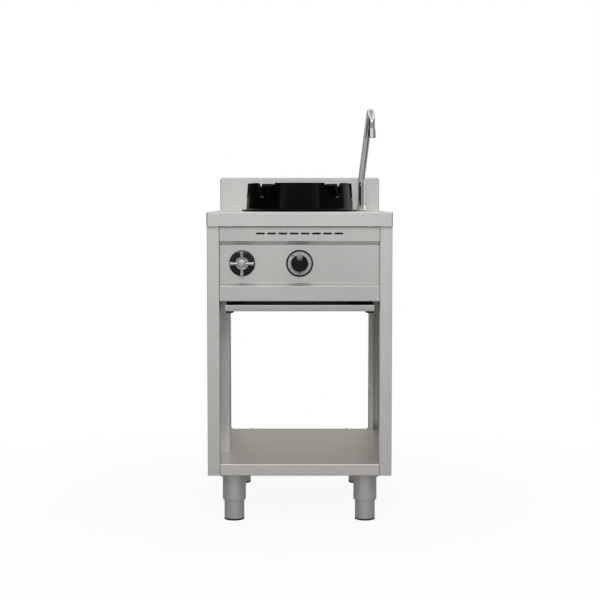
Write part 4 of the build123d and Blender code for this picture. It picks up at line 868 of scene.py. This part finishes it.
class WOK_OT_water_controls(bpy.types.Operator):
    """Chrome cross handle on its black plate"""

    bl_idname = "wok_range.water_controls"
    bl_label = "Water controls"

    def execute(self, context):
        settings = context.scene.wok_controls
        metal = context.scene.wok_metal
        cover(chrome_plate("handle_chrome", metal.chrome, roughness=0.03), "water_handle")
        cover(chrome_plate("cap_satin_chrome", metal.chrome, roughness=0.25), "handle_cap")
        plate = moulded_plastic("plate_plastic", settings.plate, roughness=0.42, grain=0.2)
        cover(plate, "water_escutcheon")
        brass = turned_metal("water_brass", metal.brass, roughness=0.3, tarnish=0.5)
        cover(brass, "water_valve", "water_spindle")
        self.marks(settings)
        return {"FINISHED"}

    def marks(self, settings):
        """Two pale arrow-shaped marks beside the upper spoke."""
        line_start, line_end, arrow_tip = radians(10), radians(18), radians(24)
        origin = front_centre("water_escutcheon")
        middle = settings.arrow_place
        half = settings.arrow_width / 2
        wing = 3 * half
        shapes = []
        for side in (-1, 1):
            start, end, tip = side * line_start, side * line_end, side * arrow_tip
            line = band(middle - half, middle + half, start, end)
            head = [polar(middle - wing, end), polar(middle + wing, end), polar(middle, tip)]
            shapes += [line[::side], head[::side]]

        def fall(radius):
            return max(0.0, radius - settings.plate_flat) * settings.plate_fall

        height = settings.mark_height
        points, faces = joined(raised(shape, origin, height, fall) for shape in shapes)
        ink = printed_ink("plate_mark_finish", settings.pale_mark_colour)
        piece("plate_marks", points, faces, ink, "frame")


class WOK_OT_spout(bpy.types.Operator):
    """Chrome on the swivelling spout"""

    bl_idname = "wok_range.spout"
    bl_label = "Spout"

    def execute(self, context):
        metal = context.scene.wok_metal
        chrome = chrome_plate("spout_chrome", metal.chrome, roughness=0.03)
        cover(chrome, "tap_spout", "spout_nozzle", "tap_base")
        brass = turned_metal("lock_nut_brass", metal.brass, roughness=0.3, tarnish=0.4)
        cover(brass, "tap_lock_nut")
        self.seal(metal)
        self.jet_former(metal)
        return {"FINISHED"}

    def seal(self, metal):
        """Rubber bead round the foot of the tap, on the worktop."""
        tuck, spread, height = 0.0004, 0.0009, 0.0009
        shoulder_spread, shoulder_height = 0.0007, 0.0005
        low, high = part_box("tap_base")
        middle = on_middle_line(low, high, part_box("worktop")[1].z)
        flange = (high.x - low.x) / 2
        rows = [
            (0.0, flange - tuck),
            (0.0, flange + spread),
            (shoulder_height, flange + shoulder_spread),
            (height, flange - tuck),
        ]
        points, faces = turned(middle, "Z", metal.turned_sides, rows, looped=True)
        black = rubber("seal_rubber", tint=(0.010, 0.010, 0.010))
        piece("tap_seal", points, faces, black, "frame")

    def jet_former(self, metal):
        """Ring and fine grid of two layers of bars inside the spout's mouth."""
        bore, rim, ring_low, ring_high = 0.0085, 0.0070, 0.0020, 0.0035
        bars_aside, pitch, half_width, thickness = 4, 0.0016, 0.00028, 0.0006
        layers = ((RIGHT, BACK, 0.0022), (BACK, RIGHT, 0.0026))
        low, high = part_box("spout_nozzle")
        middle = on_middle_line(low, high, low.z)
        rows = [(ring_low, rim), (ring_low, bore), (ring_high, bore), (ring_high, rim)]
        parts = [turned(middle, "Z", metal.turned_sides, rows, looped=True)]
        for index in range(-bars_aside, bars_aside + 1):
            aside = index * pitch
            half_length = (rim * rim - aside * aside) ** 0.5 + half_width
            for across, along, height in layers:
                corner = across * half_width + along * half_length
                base = middle + across * aside + UP * height
                parts.append(bar(base - corner, base + corner + UP * thickness))
        points, faces = joined(parts)
        plastic = moulded_plastic("jet_plastic", (0.35, 0.35, 0.34), roughness=0.35, grain=0.1)
        piece("spout_jet_former", points, faces, plastic, "spout")


class WOK_OT_pipes(bpy.types.Operator):
    """Copper and steel pipes with their threaded ends"""

    bl_idname = "wok_range.pipes"
    bl_label = "Pipes"

    def execute(self, context):
        metal = context.scene.wok_metal
        copper = turned_metal("copper_tube", metal.copper, roughness=0.3, tarnish=0.6)
        steel = turned_metal("gas_pipe_zinc", metal.zinc, roughness=0.38, tarnish=0.4)
        brass = turned_metal("fitting_brass", metal.brass, roughness=0.3, tarnish=0.4)
        cover(copper, "burner_supply_pipe", "pilot_tube", "thermocouple")
        cover(copper, "water_inlet_pipe", "tap_supply_pipe")
        cover(steel, "gas_manifold")
        self.gas_connector(metal, brass)
        self.water_connector(metal, brass)
        return {"FINISHED"}

    def gas_connector(self, metal, brass):
        """Hexagon, neck and cut thread of the gas inlet, with its bore and its pipe's socket."""
        nut_end, neck_end, socket_end = 0.0160, 0.0192, 0.008
        neck, thread, bore, socket = 0.0125, 0.01048, 0.0070, 0.00865
        low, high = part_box("gas_inlet_fitting")
        tip = high.y - low.y
        rows = nut_rows(0.0, nut_end, (high.x - low.x) / 2)
        rows += [(nut_end, neck), (neck_end, neck)]
        rows += thread_rows(neck_end, tip, thread, metal.thread_pitch, metal.thread_depth)
        rows += [(tip, bore), (socket_end, bore), (socket_end, socket), (0.0, socket)]
        middle = front_centre("gas_inlet_fitting")
        points, faces = turned(middle, "Y", metal.turned_sides, rows, looped=True)
        made = piece("gas_connector", points, faces, brass, "frame")
        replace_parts(made, "gas_inlet_fitting")

    def water_connector(self, metal, brass):
        """Cut thread and hexagon of the water inlet, with its bore and its pipe's socket."""
        thread_end, socket_end = 0.016, 0.026
        thread, bore, socket = 0.01048, 0.0065, 0.00765
        low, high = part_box("water_inlet_fitting")
        tip = high.z - low.z
        rows = thread_rows(0.0, thread_end, thread, metal.thread_pitch, metal.thread_depth)
        rows += nut_rows(thread_end, tip, (high.x - low.x) / 2)
        rows += [(tip, socket), (socket_end, socket), (socket_end, bore), (0.0, bore)]
        middle = on_middle_line(low, high, low.z)
        points, faces = turned(middle, "Z", metal.turned_sides, rows, looped=True)
        made = piece("water_connector", points, faces, brass, "frame")
        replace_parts(made, "water_inlet_fitting")


class WOK_OT_screws(bpy.types.Operator):
    """Domed socket screws under the folded edges"""

    bl_idname = "wok_range.screws"
    bl_label = "Screws"

    def execute(self, context):
        metal = context.scene.wok_metal
        parts = []
        for low, high in clusters("body_screws", reach=0.016):
            middle = on_middle_line(low, high, low.z)
            parts.append(self.screw(middle, high.z - low.z, (high.x - low.x) / 2, metal))
        points, faces = joined(parts)
        steel = turned_metal("screw_stainless", (0.86, 0.86, 0.85), roughness=0.3, tarnish=0.1)
        made = piece("socket_screws", points, faces, steel, "frame")
        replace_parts(made, "body_screws")
        return {"FINISHED"}

    def screw(self, middle, tip, head, metal):
        """A domed screw with a hexagon socket, its head downwards and its tip up."""
        head_height, rim_height, shank, socket_depth = 0.0032, 0.0008, 0.0025, 0.0018
        flat_share, thread_share, dome_steps = 0.45, 0.6, 8
        socket = hexagon(metal.screw_socket)
        flat = head * flat_share
        dome = head_height - rim_height
        rows = [(socket_depth, socket), (0.0, socket), (0.0, flat)]
        for step in range(1, dome_steps + 1):
            turn = pi / 2 * step / dome_steps
            rows.append((dome * (1.0 - cos(turn)), flat + (head - flat) * sin(turn)))
        rows += [(head_height, head), (head_height, shank)]
        pitch = metal.screw_pitch
        rows += thread_rows(head_height, tip, shank, pitch, pitch * thread_share)
        return turned(middle, "Z", metal.turned_sides // 2, rows)


class WOK_OT_stage(bpy.types.Operator):
    """Pale floor, white surroundings, soft lights and the camera"""

    bl_idname = "wok_range.stage"
    bl_label = "Studio"

    def execute(self, context):
        scene = context.scene
        settings = scene.wok_stage
        scene.view_settings.view_transform = "Standard"
        self.camera(scene, settings)
        self.sky(scene, settings)
        self.floor(settings)
        self.cards(settings)
        # Light, place, target, size and power
        for light in (
            ("key_light", (-0.1, -4.2, 3.3), (0.0, 0.0, 0.6), 2.6, settings.key_power),
            ("top_light", (0.3, -0.2, 3.5), (0.0, 0.0, 0.8), 2.2, settings.top_power),
        ):
            self.softbox(*light)
        return {"FINISHED"}

    def camera(self, scene, settings):
        """Camera at the photograph's viewing place."""
        data = bpy.data.cameras.new("camera")
        data.lens = settings.lens
        data.clip_end = CLIP_END
        made = placed("camera", data)
        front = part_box("worktop")[0].y
        made.location = (settings.side_step, front - settings.distance, settings.height)
        made.rotation_euler = (pi / 2 - settings.pitch, 0.0, 0.0)
        scene.camera = made

    def background_rays(self, shader):
        """1 for rays that show the white background: seen directly, in metal or through glass."""
        seen, mirrored, through = (
            shader.node("ShaderNodeLightPath", {}, {}, kind)
            for kind in ("Is Camera Ray", "Is Glossy Ray", "Is Transmission Ray")
        )
        return shader.maths("MAXIMUM", shader.maths("MAXIMUM", seen, mirrored), through)

    def sky(self, scene, settings):
        """White background, and an even light from all round."""
        world = bpy.data.worlds.new("studio")
        scene.world = world
        shader = Shader(world)
        white = self.background_rays(shader)
        level = white + (1.0 - white) * settings.sky
        made = shader.node("ShaderNodeBackground", {}, {"Color": WHITE, "Strength": level})
        shader.node("ShaderNodeOutputWorld", {}, {"Surface": made})

    def floor(self, settings):
        """Wide pale floor that keeps the shadow and turns white away from the unit."""
        half = settings.floor_size / 2
        made = flat_card("floor", (0.0, 0.0, 0.0), RIGHT * half, BACK * half)
        finish, shader = material("pale_floor")
        mottle = shader.even_noise(6.0)
        base = shader.mix(mottle, tinted(WHITE, 0.86), tinted(WHITE, 0.90))
        matt = shader.node("ShaderNodeBsdfDiffuse", {}, {"Color": base})
        glow = shader.node("ShaderNodeEmission", {}, {"Color": WHITE})
        away = shader.distance(shader.place())
        near, far = settings.floor_near, settings.floor_far
        whiteness = shader.between(away, near, far, settings.floor_white, 1.0)
        white = self.background_rays(shader) * whiteness
        both = shader.node("ShaderNodeMixShader", {}, {0: white, 1: matt, 2: glow})
        shader.node("ShaderNodeOutputMaterial", {}, {"Surface": both})
        made.data.materials.append(finish)

    def cards(self, settings):
        """Grey cards that only mirrors and sheens show, as in product photography."""
        slope = BACK * 2.3 + UP * 0.725
        # Card, middle, its two half sides, and colour
        rows = (
            ("card_left", (-1.4, -0.1, 0.44), BACK * 1.5, UP * 0.44, settings.card_side),
            ("card_left_high", (-1.4, -0.1, 1.34), BACK * 1.5, UP * 0.46, settings.card_high),
            ("card_right", (1.4, -0.6, 0.8), BACK, UP * 0.8, settings.card_side),
            ("card_low", (0.0, 1.0, 0.002), RIGHT * 1.8, BACK * 1.8, settings.card_low),
            ("card_front", (0.0, -5.2, 0.003), RIGHT * 5.0, BACK * 4.4, settings.card_front),
            ("card_back", (0.0, 2.8, 1.0), RIGHT * 2.6, UP, settings.card_back),
            ("card_ahead", (0.0, -6.5, 1.15), RIGHT * 4.5, UP * 0.8, settings.card_ahead),
            ("card_top", (0.0, 0.0, 3.4), RIGHT * 1.8, BACK * 1.9, settings.card_top),
            ("card_slope", (0.0, -4.2, 2.675), RIGHT * 3.0, slope, settings.card_slope),
        )
        for name, middle, across, along, tint in rows:
            made = flat_card(name, middle, across, along)
            finish, shader = material(name)
            grey = shader.node("ShaderNodeEmission", {}, {"Color": tint})
            shader.node("ShaderNodeOutputMaterial", {}, {"Surface": grey})
            made.data.materials.append(finish)
            made.visible_camera = False
            made.visible_diffuse = False
            made.visible_shadow = False

    def softbox(self, name, place, target, size, watts):
        """Square soft light that points at a target."""
        data = bpy.data.lights.new(name, "AREA")
        data.shape = "SQUARE"
        data.size = size
        data.energy = watts
        made = placed(name, data)
        made.location = place
        aim = Vector(target) - Vector(place)
        made.rotation_euler = aim.to_track_quat("-Z", "Y").to_euler()


class WOK_PT_panel(bpy.types.Panel):
    """The wok range's pieces, finishes and studio"""

    bl_idname = "WOK_PT_panel"
    bl_label = "Wok range"
    bl_space_type = "VIEW_3D"
    bl_region_type = "UI"
    bl_category = "Wok range"

    def draw(self, context):
        for operator in OPERATORS:
            self.layout.operator(operator.bl_idname)


SETTINGS = {
    "wok_sheet": SheetSettings,
    "wok_enamel": EnamelSettings,
    "wok_controls": ControlSettings,
    "wok_metal": MetalSettings,
    "wok_stage": StageSettings,
}
OPERATORS = (
    WOK_OT_sheet_body,
    WOK_OT_feet,
    WOK_OT_drip_tray,
    WOK_OT_crown,
    WOK_OT_burner,
    WOK_OT_gas_controls,
    WOK_OT_water_controls,
    WOK_OT_spout,
    WOK_OT_pipes,
    WOK_OT_screws,
    WOK_OT_stage,
)
CLASSES = (*SETTINGS.values(), *OPERATORS, WOK_PT_panel)


def register():
    for item in CLASSES:
        bpy.utils.register_class(item)
    for name, group in SETTINGS.items():
        setattr(bpy.types.Scene, name, PointerProperty(type=group))


def unregister():
    for name in SETTINGS:
        delattr(bpy.types.Scene, name)
    for item in reversed(CLASSES):
        bpy.utils.unregister_class(item)


def main():
    register()
    for operator in OPERATORS:
        group, name = operator.bl_idname.split(".")
        getattr(getattr(bpy.ops, group), name)()


if __name__ == "__main__":
    main()
